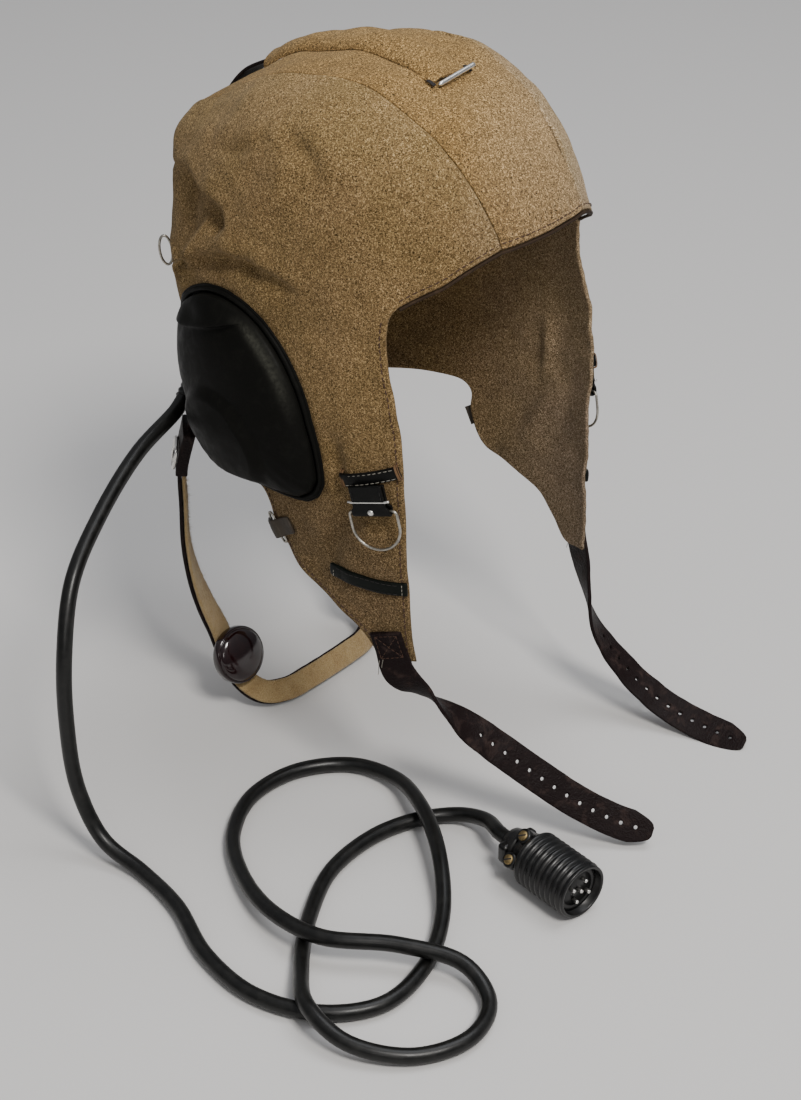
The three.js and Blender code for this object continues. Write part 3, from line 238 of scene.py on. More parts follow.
def crease_height(p):
    """Creases that die out at both ends, and the hollow behind the ear."""
    y, z = p[..., 1], p[..., 2]
    side = smoothstep(np.abs(p[..., 0]), *SIDE_FADE)
    front = 1 - smoothstep(y, *OVERHANG_END)
    total = np.zeros(y.shape)
    for line, spread, height, sides_only in CREASES:
        away, share = nearest_on(y, z, line)
        taper = np.sin(np.clip(share, 0, 1) * math.pi) ** 0.7
        total += height * taper * np.exp(-((away / spread) ** 2)) * (side if sides_only else 1)
    for line, rise, fade, height in OVERHANGS:
        away, share = nearest_on(y, z, line)
        taper = np.sin(np.clip(share, 0, 1) * math.pi) ** 0.8
        hump = smoothstep(-away, -0.5, rise) * (1 - smoothstep(-away, rise, fade))
        total += height * taper * hump * side * front
    edge, share = nearest_on(y, z, HOLLOW_EDGE)
    outline = np.concatenate([HOLLOW_EDGE, HOLLOW_BACK])
    flat = np.stack([y.ravel(), z.ravel()], 1)
    inside = inside_polygon(flat, outline).reshape(y.shape)
    foot = np.abs(nearest_on(y, z, HOLLOW_BACK[:4])[0])
    depth = np.abs(edge)
    fall = (0.5 * smoothstep(depth, 0, 6) + 0.5 * smoothstep(depth, 0, 32)) * (1 - smoothstep(y, 46, 76))
    fall = fall * smoothstep(foot, 0, 6)
    taper = np.sin(np.clip(share, 0, 1) * math.pi) ** 0.6
    ridge = np.exp(-((depth / np.where(inside, 2.6, 6.0)) ** 2)) * taper
    return total + side * (HOLLOW_RIDGE * ridge - HOLLOW_DEPTH * fall * inside)


def inside_polygon(points, polygon):
    x, y = points[:, 0], points[:, 1]
    hit = np.zeros(len(points), bool)
    for (x1, y1), (x2, y2) in zip(polygon, np.roll(polygon, -1, 0)):
        if y1 != y2:
            crosses = (y1 > y) != (y2 > y)
            hit ^= crosses & (x < (x2 - x1) * (y - y1) / (y2 - y1) + x1)
    return hit


def fold_height(p):
    """Broad folds, which the solids have too."""
    total = np.zeros(p.shape[:-1])
    for y1, z1, y2, z2, spread, height, side in FOLDS:
        dy, dz = y2 - y1, z2 - z1
        y, z = p[..., 1] - y1, p[..., 2] - z1
        along = np.clip((y * dy + z * dz) / (dy * dy + dz * dz), 0, 1)
        away = np.hypot(y - along * dy, z - along * dz)
        fade = smoothstep(np.abs(p[..., 0]), *SIDE_FADE) if side else 1.0
        total = total + height * fade * np.exp(-((away / spread) ** 2))
    return total


def ripple(p, wavelength, seed):
    """Soft uneven swell from a few plane waves."""
    rng = np.random.default_rng(seed)
    total = np.zeros(p.shape[:-1])
    for _ in range(WAVES):
        way = rng.normal(size=3)
        way *= TAU / (wavelength * rng.uniform(0.75, 1.5) * np.linalg.norm(way))
        total += np.sin(p @ way + rng.uniform(0, TAU))
    return total / math.sqrt(WAVES)


def form_normal(turn, down):
    """Outward direction of the smooth form in the head frame."""
    step, top = 0.004, 0.03
    sideways = plain_point(turn + step, down) - plain_point(turn - step, down)
    downward = plain_point(turn, down + step) - plain_point(turn, down - step)
    n = np.cross(downward, sideways)
    n /= np.maximum(np.linalg.norm(n, axis=-1, keepdims=True), 1e-9)
    return np.where(np.asarray(down)[..., None] < top, vec(0, 0, 1), n)


def form_point(turn, down, lift=0.0, cloth=False):
    """World point over the cloth. cloth adds the creases that the solids leave out."""
    turn, down = np.broadcast_arrays(np.asarray(turn, float), np.asarray(down, float))
    p = plain_point(turn, down)
    height = lift + fold_height(p)
    if cloth:
        height = height + crease_height(p)
        for size, wavelength, seed in SWELLS:
            height = height + size * ripple(p, wavelength, seed)
    return tilt(p + form_normal(turn, down) * np.asarray(height)[..., None], 1)


BISECTIONS = 36


def bisect(low, high, too_high):
    """Vector bisection: too_high(value) says where the value is past the root."""
    low, high = np.array(low, float), np.array(high, float)
    for _ in range(BISECTIONS):
        middle = (low + high) / 2
        past = too_high(middle)
        high = np.where(past, middle, high)
        low = np.where(past, low, middle)
    return (low + high) / 2


def on_side(y, z):
    """turn and down of the right side's point with the world y and z."""
    y, z = np.broadcast_arrays(np.asarray(y, float), np.asarray(z, float))
    head = tilt(vec(0, y, z), -1)
    down = down_of(head[..., 2])
    quarter = np.full(y.shape, math.pi / 2)
    turn = bisect(-quarter, quarter, lambda t: plain_point(t, down)[..., 1] <= head[..., 1])
    return turn, down


def side_point(y, z, lift=0.0, cloth=False):
    return form_point(*on_side(y, z), lift, cloth)


def side_normal(y, z):
    return tilt(form_normal(*on_side(y, z)), 1)


# Meshes


def add_mesh(name, points, faces, smooth=True):
    """Object from points in millimetres."""
    mesh = bpy.data.meshes.new(name)
    mesh.from_pydata((np.asarray(points) * MM).tolist(), [], [list(map(int, f)) for f in faces])
    mesh.update()
    if smooth:
        mesh.shade_smooth()
    obj = bpy.data.objects.new(name, mesh)
    bpy.context.scene.collection.objects.link(obj)
    return obj


def dress(obj, material, *nodes, body="helmet", slot=None):
    """Gives a piece its material and its body, and hides the CAD nodes it stands for."""
    obj.data.materials.clear()
    obj.data.materials.append(material)
    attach(obj, body)
    if nodes:
        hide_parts(*nodes)
    return obj


def across(points):
    """The mirror image on the other side of the head."""
    return np.asarray(points) * (-1, 1, 1)


# Both sides of the head, and how points of the right side come to lie there
SIDES = (("right", np.asarray), ("left", across))


def tangents(points, closed=False):
    p = np.asarray(points, float)
    if closed:
        t = np.roll(p, -1, 0) - np.roll(p, 1, 0)
    else:
        t = np.gradient(p, axis=0)
    return unit(t)


def smooth_path(points, count, closed=False):
    """Evenly spaced points of a centripetal Catmull-Rom curve. More columns than x, y, z follow along."""
    p = np.asarray(points, float)
    if closed:
        ring = np.concatenate([p[-1:], p, p[:2]])
    else:
        ring = np.concatenate([2 * p[:1] - p[1:2], p, 2 * p[-1:] - p[-2:-1]])
    out = []
    for i in range(len(ring) - 3):
        a, b, c, d = ring[i:i + 4]
        gaps = [np.linalg.norm((q - r)[:3]) for q, r in ((b, a), (c, b), (d, c))]
        k = np.cumsum([0] + [max(gap, 1e-6) ** 0.5 for gap in gaps])
        t = np.linspace(k[1], k[2], 24, endpoint=False)[:, None]
        ab = (k[1] - t) / (k[1] - k[0]) * a + (t - k[0]) / (k[1] - k[0]) * b
        bc = (k[2] - t) / (k[2] - k[1]) * b + (t - k[1]) / (k[2] - k[1]) * c
        cd = (k[3] - t) / (k[3] - k[2]) * c + (t - k[2]) / (k[3] - k[2]) * d
        abc = (k[2] - t) / (k[2] - k[0]) * ab + (t - k[0]) / (k[2] - k[0]) * bc
        bcd = (k[3] - t) / (k[3] - k[1]) * bc + (t - k[1]) / (k[3] - k[1]) * cd
        out.append((k[2] - t) / (k[2] - k[1]) * abc + (t - k[1]) / (k[2] - k[1]) * bcd)
    out.append(p[:1] if closed else p[-1:])
    dense = np.concatenate(out)
    return even(dense, count, closed)


def walk(points):
    """Distance walked along a polyline up to each point."""
    gaps = np.linalg.norm(np.diff(np.asarray(points)[:, :3], axis=0), axis=1)
    return np.concatenate([[0], np.cumsum(gaps)])


def even(dense, count, closed=False):
    """Resamples a polyline at equal steps."""
    step = walk(dense)
    at = np.linspace(0, step[-1], count + 1 if closed else count)
    picked = read_at(at, step, dense)
    return picked[:-1] if closed else picked


def grid_faces(rows, columns, wrap_rows=False, wrap_columns=False):
    faces = []
    for i in range(rows if wrap_rows else rows - 1):
        for j in range(columns if wrap_columns else columns - 1):
            a, b = i * columns, ((i + 1) % rows) * columns
            k = (j + 1) % columns
            faces.append((a + j, a + k, b + k, b + j))
    return faces


def volume(points, faces):
    total = 0.0
    p = np.asarray(points)
    for f in faces:
        for i in range(1, len(f) - 1):
            total += np.dot(p[f[0]], np.cross(p[f[i]], p[f[i + 1]]))
    return total


def solid(name, points, faces, smooth=True):
    if volume(points, faces) < 0:
        faces = [tuple(reversed(f)) for f in faces]
    return add_mesh(name, points, faces, smooth)


def loft(name, sections, closed=False):
    """Solid through sections, each a closed loop of the same number of points."""
    rows, columns = len(sections), len(sections[0])
    faces = grid_faces(rows, columns, wrap_rows=closed, wrap_columns=True)
    if not closed:
        faces += [tuple(range(columns))[::-1], tuple((rows - 1) * columns + i for i in range(columns))]
    return solid(name, np.concatenate(sections), faces)


def frames(points, facing, closed=False):
    """Tangent, outward face and sideways direction along a path."""
    t = tangents(points, closed)
    n = np.asarray(facing, float) * np.ones_like(t)
    n = unit(n - t * (n * t).sum(1, keepdims=True))
    return t, n, np.cross(t, n)


def ribbon(name, points, facing, width, thickness, lift=0.0, edge=0.45, crown=0.0, wave=None):
    """Strip with rounded edges. width may be one number or one for each point."""
    t, n, side = frames(points, facing)
    half = np.broadcast_to(np.asarray(width, float) / 2, (len(points),))
    r = min(edge, thickness / 2 - 0.02)
    inner = np.linspace(-1, 1, 9)
    corner = [math.radians(a) for a in (0, 30, 60, 90)]
    sections = []
    for i, p in enumerate(points):
        h = half[i] - r
        loop = [(x * h, thickness + crown * (1 - x * x)) for x in inner]
        loop += [(h + r * math.sin(a), thickness - r + r * math.cos(a)) for a in corner[1:]]
        loop += [(h + r * math.cos(a), r - r * math.sin(a)) for a in corner]
        loop += [(x * h, 0) for x in inner[::-1][1:]]
        loop += [(-h - r * math.sin(a), r - r * math.cos(a)) for a in corner[1:]]
        loop += [(-h - r * math.cos(a), thickness - r + r * math.sin(a)) for a in corner[:-1]]
        up = 0.0 if wave is None else wave[i]
        sections.append(np.array([p + side[i] * a + n[i] * (b + lift + up) for a, b in loop]))
    return loft(name, sections)


def tube(name, points, radius, sides=10, closed=False, facing=(0.13, 0.31, 0.94)):
    t, n, side = frames(points, facing, closed)
    radius = np.broadcast_to(np.asarray(radius, float), (len(points),))
    angle = np.arange(sides) / sides * TAU
    sections = [
        p + radius[i] * (np.cos(angle)[:, None] * n[i] + np.sin(angle)[:, None] * side[i])
        for i, p in enumerate(points)
    ]
    return loft(name, sections, closed)


def lathe(name, profile, origin, axis, sides=48):
    """Solid of revolution: profile of (radius, distance along the axis), both ends on the axis."""
    axis = unit(axis)
    first = unit(np.cross(axis, (0.0, 0.0, 1.0) if abs(axis[2]) < 0.9 else (1.0, 0.0, 0.0)))
    second = np.cross(axis, first)
    angle = np.arange(sides) / sides * TAU
    ring = np.cos(angle)[:, None] * first + np.sin(angle)[:, None] * second
    sections = [np.asarray(origin) + ring * max(r, 1e-4) + axis * d for r, d in profile]
    return loft(name, sections)


class Threads:
    """Sewing stitches collected into one mesh for each colour."""

    jitter = 0.12

    def __init__(self, name, material):
        self.name, self.material = name, material
        self.points, self.faces = [], []

    def stitch(self, a, b, up, radius):
        """One stitch that dips into the cloth at both ends."""
        a, b, up = (np.asarray(v, float) for v in (a, b, up))
        way = b - a
        side = unit(np.cross(way, up))
        start = sum(len(p) for p in self.points)
        shares = (0.0, 0.12, 0.35, 0.65, 0.88, 1.0)
        swell = (0.45, 0.85, 1.0, 1.0, 0.85, 0.45)
        rise = (-0.9, 0.0, 0.35, 0.35, 0.0, -0.9)
        sides = 6
        angle = np.arange(sides) / sides * TAU
        rings = [
            a + way * s + up * r * radius + radius * w * (
                np.cos(angle)[:, None] * side + np.sin(angle)[:, None] * up)
            for s, w, r in zip(shares, swell, rise)
        ]
        self.points.append(np.concatenate(rings))
        faces = grid_faces(len(shares), sides, wrap_columns=True)
        faces += [tuple(range(sides))[::-1], tuple((len(shares) - 1) * sides + i for i in range(sides))]
        self.faces += [tuple(start + i for i in f) for f in faces]

    def row(self, points, normals, length, space, radius, seed):
        """Stitches along a path."""
        rng = np.random.default_rng(seed)
        points = np.asarray(points, float)
        normals = np.asarray(normals, float) * np.ones_like(points)
        step = walk(points)
        count = max(1, int((step[-1] + space) / (length + space)))
        pitch = (step[-1] + space) / count
        for i in range(count):
            s = i * pitch + rng.uniform(-self.jitter, self.jitter)
            ends = (max(0, s), min(step[-1], s + pitch - space))
            up = unit(read_at(sum(ends) / 2, step, normals))
            a, b = (read_at(end, step, points) for end in ends)
            self.stitch(a, b, up, radius)

    def finish(self):
        dress(add_mesh(self.name, np.concatenate(self.points), self.faces), self.material)


# Materials


class Shade:
    """Short way to write a material's nodes."""

    def __init__(self, name):
        self.material = bpy.data.materials.new(name)
        self.material.use_nodes = True
        self.tree = self.material.node_tree
        self.bsdf = self.tree.nodes["Principled BSDF"]
        coords = self.tree.nodes.new("ShaderNodeTexCoord")
        self.coords = coords.outputs["Object"]
        self.normal = None

    def set(self, **values):
        for key, value in values.items():
            self.bsdf.inputs[key.replace("_", " ")].default_value = value

    def node(self, kind, inputs=None, **settings):
        """New node with these settings, and with values or other nodes' outputs in its inputs."""
        node = self.tree.nodes.new(kind)
        for key, value in settings.items():
            setattr(node, key, value)
        for key, source in (inputs or {}).items():
            self.plug(source, node.inputs[key])
        return node

    def opaque(self, value):
        """A colour with its alpha. Outputs of nodes stay as they are."""
        return (*value, 1) if isinstance(value, tuple) else value

    def plug(self, source, socket):
        """Puts a value or another node's output into a socket."""
        if isinstance(source, (int, float, tuple)):
            socket.default_value = source
        else:
            self.tree.links.new(source, socket)

    def noise(self, size, detail=2.0, rough=0.5, distortion=0.0):
        """Noise whose features are about size millimetres."""
        inputs = {"Vector": self.coords, "Scale": 1 / (size * MM), "Detail": detail}
        inputs |= {"Roughness": rough, "Distortion": distortion}
        return self.node("ShaderNodeTexNoise", inputs).outputs["Fac"]

    def cells(self, size):
        """Distance from the middle of cells of about size millimetres."""
        inputs = {"Vector": self.coords, "Scale": 1 / (size * MM)}
        return self.node("ShaderNodeTexVoronoi", inputs, feature="F1").outputs["Distance"]

    def ramp(self, value, *stops):
        """Colour ramp from (place, colour) stops."""
        node = self.node("ShaderNodeValToRGB")
        ramp = node.color_ramp
        while len(ramp.elements) < len(stops):
            ramp.elements.new(0.5)
        for element, (place, colour) in zip(ramp.elements, stops):
            element.position = place
            element.color = (*colour, 1)
        self.tree.links.new(value, node.inputs["Fac"])
        return node.outputs["Color"]

    def range(self, value, low, high, to_low=0.0, to_high=1.0):
        inputs = {"Value": value, "From Min": low, "From Max": high, "To Min": to_low, "To Max": to_high}
        return self.node("ShaderNodeMapRange", inputs).outputs["Result"]

    def mix(self, share, a, b, blend="MIX"):
        inputs = {"Factor": share, "A": self.opaque(a), "B": self.opaque(b)}
        return self.node("ShaderNodeMix", inputs, data_type="RGBA", blend_type=blend).outputs["Result"]

    def tinted(self, share, colour, gain):
        """The colour times gain, as far as share says."""
        return self.mix(share, colour, self.mix(1.0, colour, gain, "MULTIPLY"))

    def math(self, operation, a, b):
        return self.node("ShaderNodeMath", {0: a, 1: b}, operation=operation).outputs[0]

    def bump(self, value, depth, strength):
        """Adds a height in millimetres to the surface."""
        inputs = {"Strength": strength, "Distance": depth * MM, "Height": value}
        if self.normal is not None:
            inputs["Normal"] = self.normal
        self.normal = self.node("ShaderNodeBump", inputs).outputs["Normal"]
        self.plug(self.normal, self.bsdf.inputs["Normal"])

    def colour(self, value):
        self.plug(self.opaque(value), self.bsdf.inputs["Base Color"])

    def roughness(self, value):
        self.plug(value, self.bsdf.inputs["Roughness"])


# Painted light on the cloth: direction, metres along it from none to all, gain
PAINTED_LIGHT = [
    ((0.35, -0.2, 0.9), 0.042, 0.095, (1.5, 1.54, 1.58)),
    ((0.6, -0.8, 0.0), 0.035, 0.10, (1.28, 1.42, 1.95)),
]


def cloth_material(name, dark, middle, light, tint):
    """Mottled brown cloth: short crooked light and dark flecks, threads and slow changes of tone."""
    s = Shade(name)
    s.set(Roughness=0.95, Specular_IOR_Level=0.1)
    s.set(Sheen_Weight=0.12, Sheen_Roughness=0.5, Sheen_Tint=(0.9, 0.75, 0.5, 1))
    flecks = s.noise(0.62, 1.0, 0.45, 1.3)
    fine = s.noise(0.30, 1.5, 0.6)
    colour = s.ramp(flecks, (0.34, dark), (0.47, middle), (0.54, middle), (0.67, light))
    colour = s.tinted(s.range(fine, 0.3, 0.7, 0.0, 0.45), colour, (0.55, 0.52, 0.48))
    slow = s.noise(34, 2, 0.5)
    colour = s.tinted(s.range(slow, 0.35, 0.68, 0.0, 0.5), colour, tint)
    patch = s.noise(8, 2, 0.55)
    colour = s.tinted(s.range(patch, 0.35, 0.7, 0.0, 0.3), colour, (0.66, 0.64, 0.60))
    # painted shade: darker towards the foot of the flaps
    level = s.node("ShaderNodeSeparateXYZ", {"Vector": s.coords})
    height = s.math("ADD", level.outputs["Z"], s.range(slow, 0.3, 0.7, -0.02, 0.02))
    shade_starts, shade_full = -0.035, -0.115
    painted_shade = s.range(height, shade_starts, shade_full)
    colour = s.tinted(painted_shade, colour, (0.70, 0.71, 0.78))
    # painted light: lighter over the crown, and a greyer, bluer painted light towards the front of the
    # middle panel
    for way, low, high, gain in PAINTED_LIGHT:
        toward = s.node("ShaderNodeVectorMath", {0: s.coords, 1: way}, operation="DOT_PRODUCT")
        colour = s.tinted(s.range(toward.outputs["Value"], low, high), colour, gain)
    s.colour(colour)
    s.bump(flecks, 0.32, 0.9)
    s.bump(fine, 0.12, 0.8)
    return s.material


# Vertex attribute that says where a highlight is painted on the leather, and the painted highlight's colour
PAINTED_HIGHLIGHT = "painted_highlight"
PAINTED_HIGHLIGHT_COLOUR = (0.044, 0.044, 0.036)


def leather_material(name, base, worn, rough=0.42, grain=0.9, depth=0.08, wear=0.25, shine=0.25):
    """Leather: pebbled grain, creases, scuffed lighter patches, uneven gloss, and a painted highlight where
    a vertex attribute asks for one.
    """
    s = Shade(name)
    s.set(Specular_IOR_Level=shine)
    pebbles = s.cells(grain)
    creases = s.noise(2.6, 4, 0.6, 1.2)
    scuffs = s.noise(7, 5, 0.65, 0.6)
    # painted highlight: a lighter colour where the vertex attribute is set, broken up by noise
    painted_highlight = s.node("ShaderNodeAttribute", attribute_name=PAINTED_HIGHLIGHT).outputs["Fac"]
    painted_highlight = s.math("MULTIPLY", painted_highlight, s.range(s.noise(1.6, 3, 0.6), 0.3, 0.7, 0.35, 1.0))
    colour = s.mix(s.range(scuffs, 0.52, 0.75, 0.0, wear), base, worn)
    s.colour(s.mix(painted_highlight, colour, PAINTED_HIGHLIGHT_COLOUR))
    s.roughness(s.range(scuffs, 0.3, 0.75, rough - 0.07, rough + 0.16))
    s.bump(pebbles, depth, 0.6)
    s.bump(creases, depth * 2.2, 0.5)
    return s.material


def metal_material(name, base, dark, rough=0.22, tarnish=0.4):
    """Metal with tarnished and duller spots."""
    s = Shade(name)
    s.set(Metallic=1.0)
    spots = s.noise(1.8, 4, 0.6)
    s.colour(s.mix(s.range(spots, 0.45, 0.75, 0.0, tarnish), base, dark))
    s.roughness(s.range(spots, 0.3, 0.75, rough, rough + 0.25))
    s.bump(s.noise(0.7, 3), 0.03, 0.5)
    return s.material


def felt_material():
    """Pale brown felt with soiled patches."""
    s = Shade("felt")
    s.set(Roughness=1.0, Specular_IOR_Level=0.05, Sheen_Weight=0.3, Sheen_Roughness=0.4)
    fibres = s.noise(0.5, 4, 0.7, 1.5)
    patches = s.noise(7, 3, 0.6)
    dark, middle, light = (0.17, 0.115, 0.053), (0.35, 0.25, 0.12), (0.56, 0.42, 0.22)
    colour = s.ramp(fibres, (0.3, dark), (0.5, middle), (0.75, light))
    colour = s.tinted(s.range(patches, 0.4, 0.75, 0.0, 0.5), colour, (0.6, 0.5, 0.42))
    s.colour(colour)
    s.bump(fibres, 0.5, 0.8)
    s.bump(patches, 0.6, 0.4)
    return s.material


def plain_material(name, base, other, rough, depth, size, coat, shine):
    """Rubber and moulded pieces: slight mottling, dust and fine orange peel."""
    s = Shade(name)
    s.set(Coat_Weight=coat, Coat_Roughness=0.12)
    s.set(Specular_IOR_Level=shine)
    dust = s.noise(6, 4, 0.65)
    s.colour(s.mix(s.range(dust, 0.45, 0.8, 0.0, 0.7), base, other))
    s.roughness(s.range(dust, 0.3, 0.8, rough, rough + 0.15))
    s.bump(s.noise(size, 3), depth, 0.6)
    return s.material


def thread_material(name, base):
    """Matt sewing thread, darker between its fibres."""
    s = Shade(name)
    fibre = s.noise(0.35, 2)
    s.set(Roughness=0.8)
    s.colour(s.mix(s.range(fibre, 0.3, 0.7, 0, 0.5), base, tuple(c * 0.6 for c in base)))
    return s.material


CLOTH_SIDE = cloth_material(
    "cloth_brown", (0.042, 0.025, 0.009), (0.19, 0.121, 0.053), (0.52, 0.360, 0.18), (0.72, 0.74, 0.62))
CLOTH_MIDDLE = cloth_material(
    "cloth_middle", (0.034, 0.020, 0.007), (0.168, 0.102, 0.040), (0.53, 0.340, 0.14), (0.82, 0.78, 0.70))
BINDING = leather_material("binding", (0.030, 0.019, 0.012), (0.085, 0.055, 0.034), 0.75, 0.6, 0.1, 0.6, 0.1)
CUP_LEATHER = leather_material(
    "cup_leather", (0.0062, 0.0061, 0.0054), (0.012, 0.012, 0.0100), 0.39, 0.55, 0.05, 0.5, 0.03)
DARK_LEATHER = leather_material(
    "dark_leather", (0.0085, 0.0045, 0.0045), (0.055, 0.035, 0.030), 0.46, 0.8, 0.35, 0.7, 0.10)
BAND_LEATHER = leather_material(
    "band_leather", (0.0032, 0.0032, 0.003), (0.014, 0.0135, 0.012), 0.42, 0.6, 0.08, 0.5, 0.14)
GREEN_LEATHER = leather_material(
    "green_leather", (0.0022, 0.0036, 0.0026), (0.009, 0.013, 0.009), 0.42, 0.6, 0.08, 0.5, 0.14)
HOOK_LEATHER = leather_material(
    "hook_leather", (0.038, 0.030, 0.022), (0.11, 0.092, 0.07), 0.5, 0.8, 0.12, 0.6)
FELT = felt_material()
STEEL = metal_material("steel", (0.78, 0.77, 0.74), (0.30, 0.27, 0.22))
WIRE_STEEL = metal_material("wire_steel", (0.42, 0.40, 0.35), (0.10, 0.085, 0.07), 0.24, 0.75)
BRASS = metal_material("brass", (0.33, 0.24, 0.11), (0.10, 0.085, 0.055), 0.4, 0.7)
BURGUNDY = plain_material(
    "burgundy_bakelite", (0.008, 0.0012, 0.0018), (0.018, 0.004, 0.004), 0.07, 0.01, 3, 0.6, 0.4)
RUBBER = plain_material(
    "rubber", (0.0035, 0.0036, 0.0033), (0.014, 0.0135, 0.012), 0.30, 0.05, 1.2, 0.0, 0.35)
BAKELITE = plain_material(
    "black_bakelite", (0.0035, 0.0035, 0.0036), (0.016, 0.015, 0.0135), 0.26, 0.03, 1.0, 0.0, 0.4)
THREAD_LIGHT = thread_material("thread_light", (0.24, 0.225, 0.19))
THREAD_BROWN = thread_material("thread_brown", (0.055, 0.024, 0.013))
THREAD_COPPER = thread_material("thread_copper", (0.16, 0.085, 0.035))
THREAD_BLACK = thread_material("thread_black", (0.015, 0.012, 0.012))

light_threads = Threads("threads_light", THREAD_LIGHT)
brown_threads = Threads("threads_brown", THREAD_BROWN)
black_threads = Threads("threads_black", THREAD_BLACK)


# Cord and plug

CORD_RADIUS = 3.8
# Where the cord's sleeve leaves the ear cup's piping
GLAND_ROOT = np.array((-55, 75, -64))
PLUG_RADIUS = 14.3
PLUG_AXIS_Z = TABLE_Z + PLUG_RADIUS + GAP
PLUG_REAR = np.array((-66, -143.3, PLUG_AXIS_Z))
PLUG_FRONT = np.array((-73.1, -183, PLUG_AXIS_Z))
PLUG_LENGTH = np.linalg.norm(PLUG_FRONT - PLUG_REAR)
PLUG_AXIS = (PLUG_FRONT - PLUG_REAR) / PLUG_LENGTH
CLAMP_LENGTH = 9.0
# Middle of the cord from its sleeve over the table to the plug
CORD_ROUTE = [
    (-66, 73, -70), (-103, 68, -83), (-139, 59, -100), (-168, 48, -118), (-184, 39, -146), (-189, 36, -181),
    (-189, 32, -218), (-188, 18, -242), (-186, -6, -250.6), (-193, -36, -250.6), (-209, -71, -250.6),
    (-214, -105, -250.6), (-204, -135, -250.6), (-182, -153, -250.6), (-152, -152, -250.6),
    (-120, -137, -249), (-93, -113, -242), (-70, -83, -241.5), (-54, -52, -248), (-57, -26, -250.6),
    (-79, -8, -250.6), (-108, -5, -250.6), (-137, -19, -250.6), (-159, -46, -248), (-174, -80, -243),
    (-174, -110, -241), (-155, -140, -241.5), (-143, -168, -245), (-150, -188, -250.6),
    (-173, -196, -250.6), (-198, -184, -250.6), (-213, -159, -247), (-211, -135, -242),
    (-190, -112, -248), (-159, -89, -250.6), (-126, -74, -250.6), (-92, -73, -250.6),
    (-68, -82, -250.6), (-55, -96, -249), (-55, -112, -244.5),
]


def make_cord():
    """Rubber cord from its sleeve behind the ear cup to the plug."""
    start = np.array(CORD_ROUTE[0], float)
    out = unit(start - GLAND_ROOT)
    end = PLUG_REAR - PLUG_AXIS * (CLAMP_LENGTH + 2 * GAP)
    straight = 2 * CORD_RADIUS
    route = [start, start + out * straight, *CORD_ROUTE[1:], end - PLUG_AXIS * straight, end]
    path = smooth_path(np.array(route), 420)
    length = walk(path)[-1]
    curve = bpy.data.curves.new("rubber_cord", "CURVE")
    curve.dimensions = "3D"
    curve.bevel_depth = CORD_RADIUS * MM
    curve.bevel_resolution = 6
    curve.use_fill_caps = True
    spline = curve.splines.new("POLY")
    spline.points.add(len(path) - 1)
    for point, place in zip(spline.points, path):
        point.co = (*(place * MM), 1)
    spline.use_smooth = True
    cord = bpy.data.objects.new("rubber_cord", curve)
    bpy.context.scene.collection.objects.link(cord)
    dress(cord, RUBBER, "cord", slot="rubber")

    tip = start - out * GAP
    # the sleeve narrows towards the cord and has four rings
    steps = np.linspace(0, 1, 40)
    wide, narrow, ring, rings = 5.2, 4.2, 0.28, 4
    radius = wide - (wide - narrow) * steps + ring * np.cos(steps * TAU * rings) * (steps > 0.2)
    radius[0], radius[-1] = 4.6, 4.3
    gland = tube("cord_sleeve", GLAND_ROOT + (tip - GLAND_ROOT) * steps[:, None], radius, 24)
    dress(gland, RUBBER, "cord_gland", slot="rubber")
    return cord, length


def box_solid(name, centre, axes, half, bevel):
    """Block with rounded edges on its own axes."""
    corners = [(x, y, z) for x in (-1, 1) for y in (-1, 1) for z in (-1, 1)]
    points = [centre + sum(np.asarray(a) * h * s for a, h, s in zip(axes, half, c)) for c in corners]
    faces = [(0, 1, 3, 2), (4, 6, 7, 5), (0, 4, 5, 1), (2, 3, 7, 6), (0, 2, 6, 4), (1, 5, 7, 3)]
    obj = solid(name, points, faces, smooth=False)
    round_edges(obj, bevel)
    return obj


SHARP_EDGE = math.radians(40)


def round_edges(obj, width, segments=3):
    modifier = obj.modifiers.new("bevel", "BEVEL")
    modifier.width = width * MM
    modifier.segments = segments
    modifier.limit_method = "ANGLE"
    modifier.angle_limit = SHARP_EDGE
    modifier.harden_normals = True
    obj.data.shade_smooth()


def apply_modifiers(obj):
    graph = bpy.context.evaluated_depsgraph_get()
    mesh = bpy.data.meshes.new_from_object(obj.evaluated_get(graph))
    obj.modifiers.clear()
    obj.data = mesh


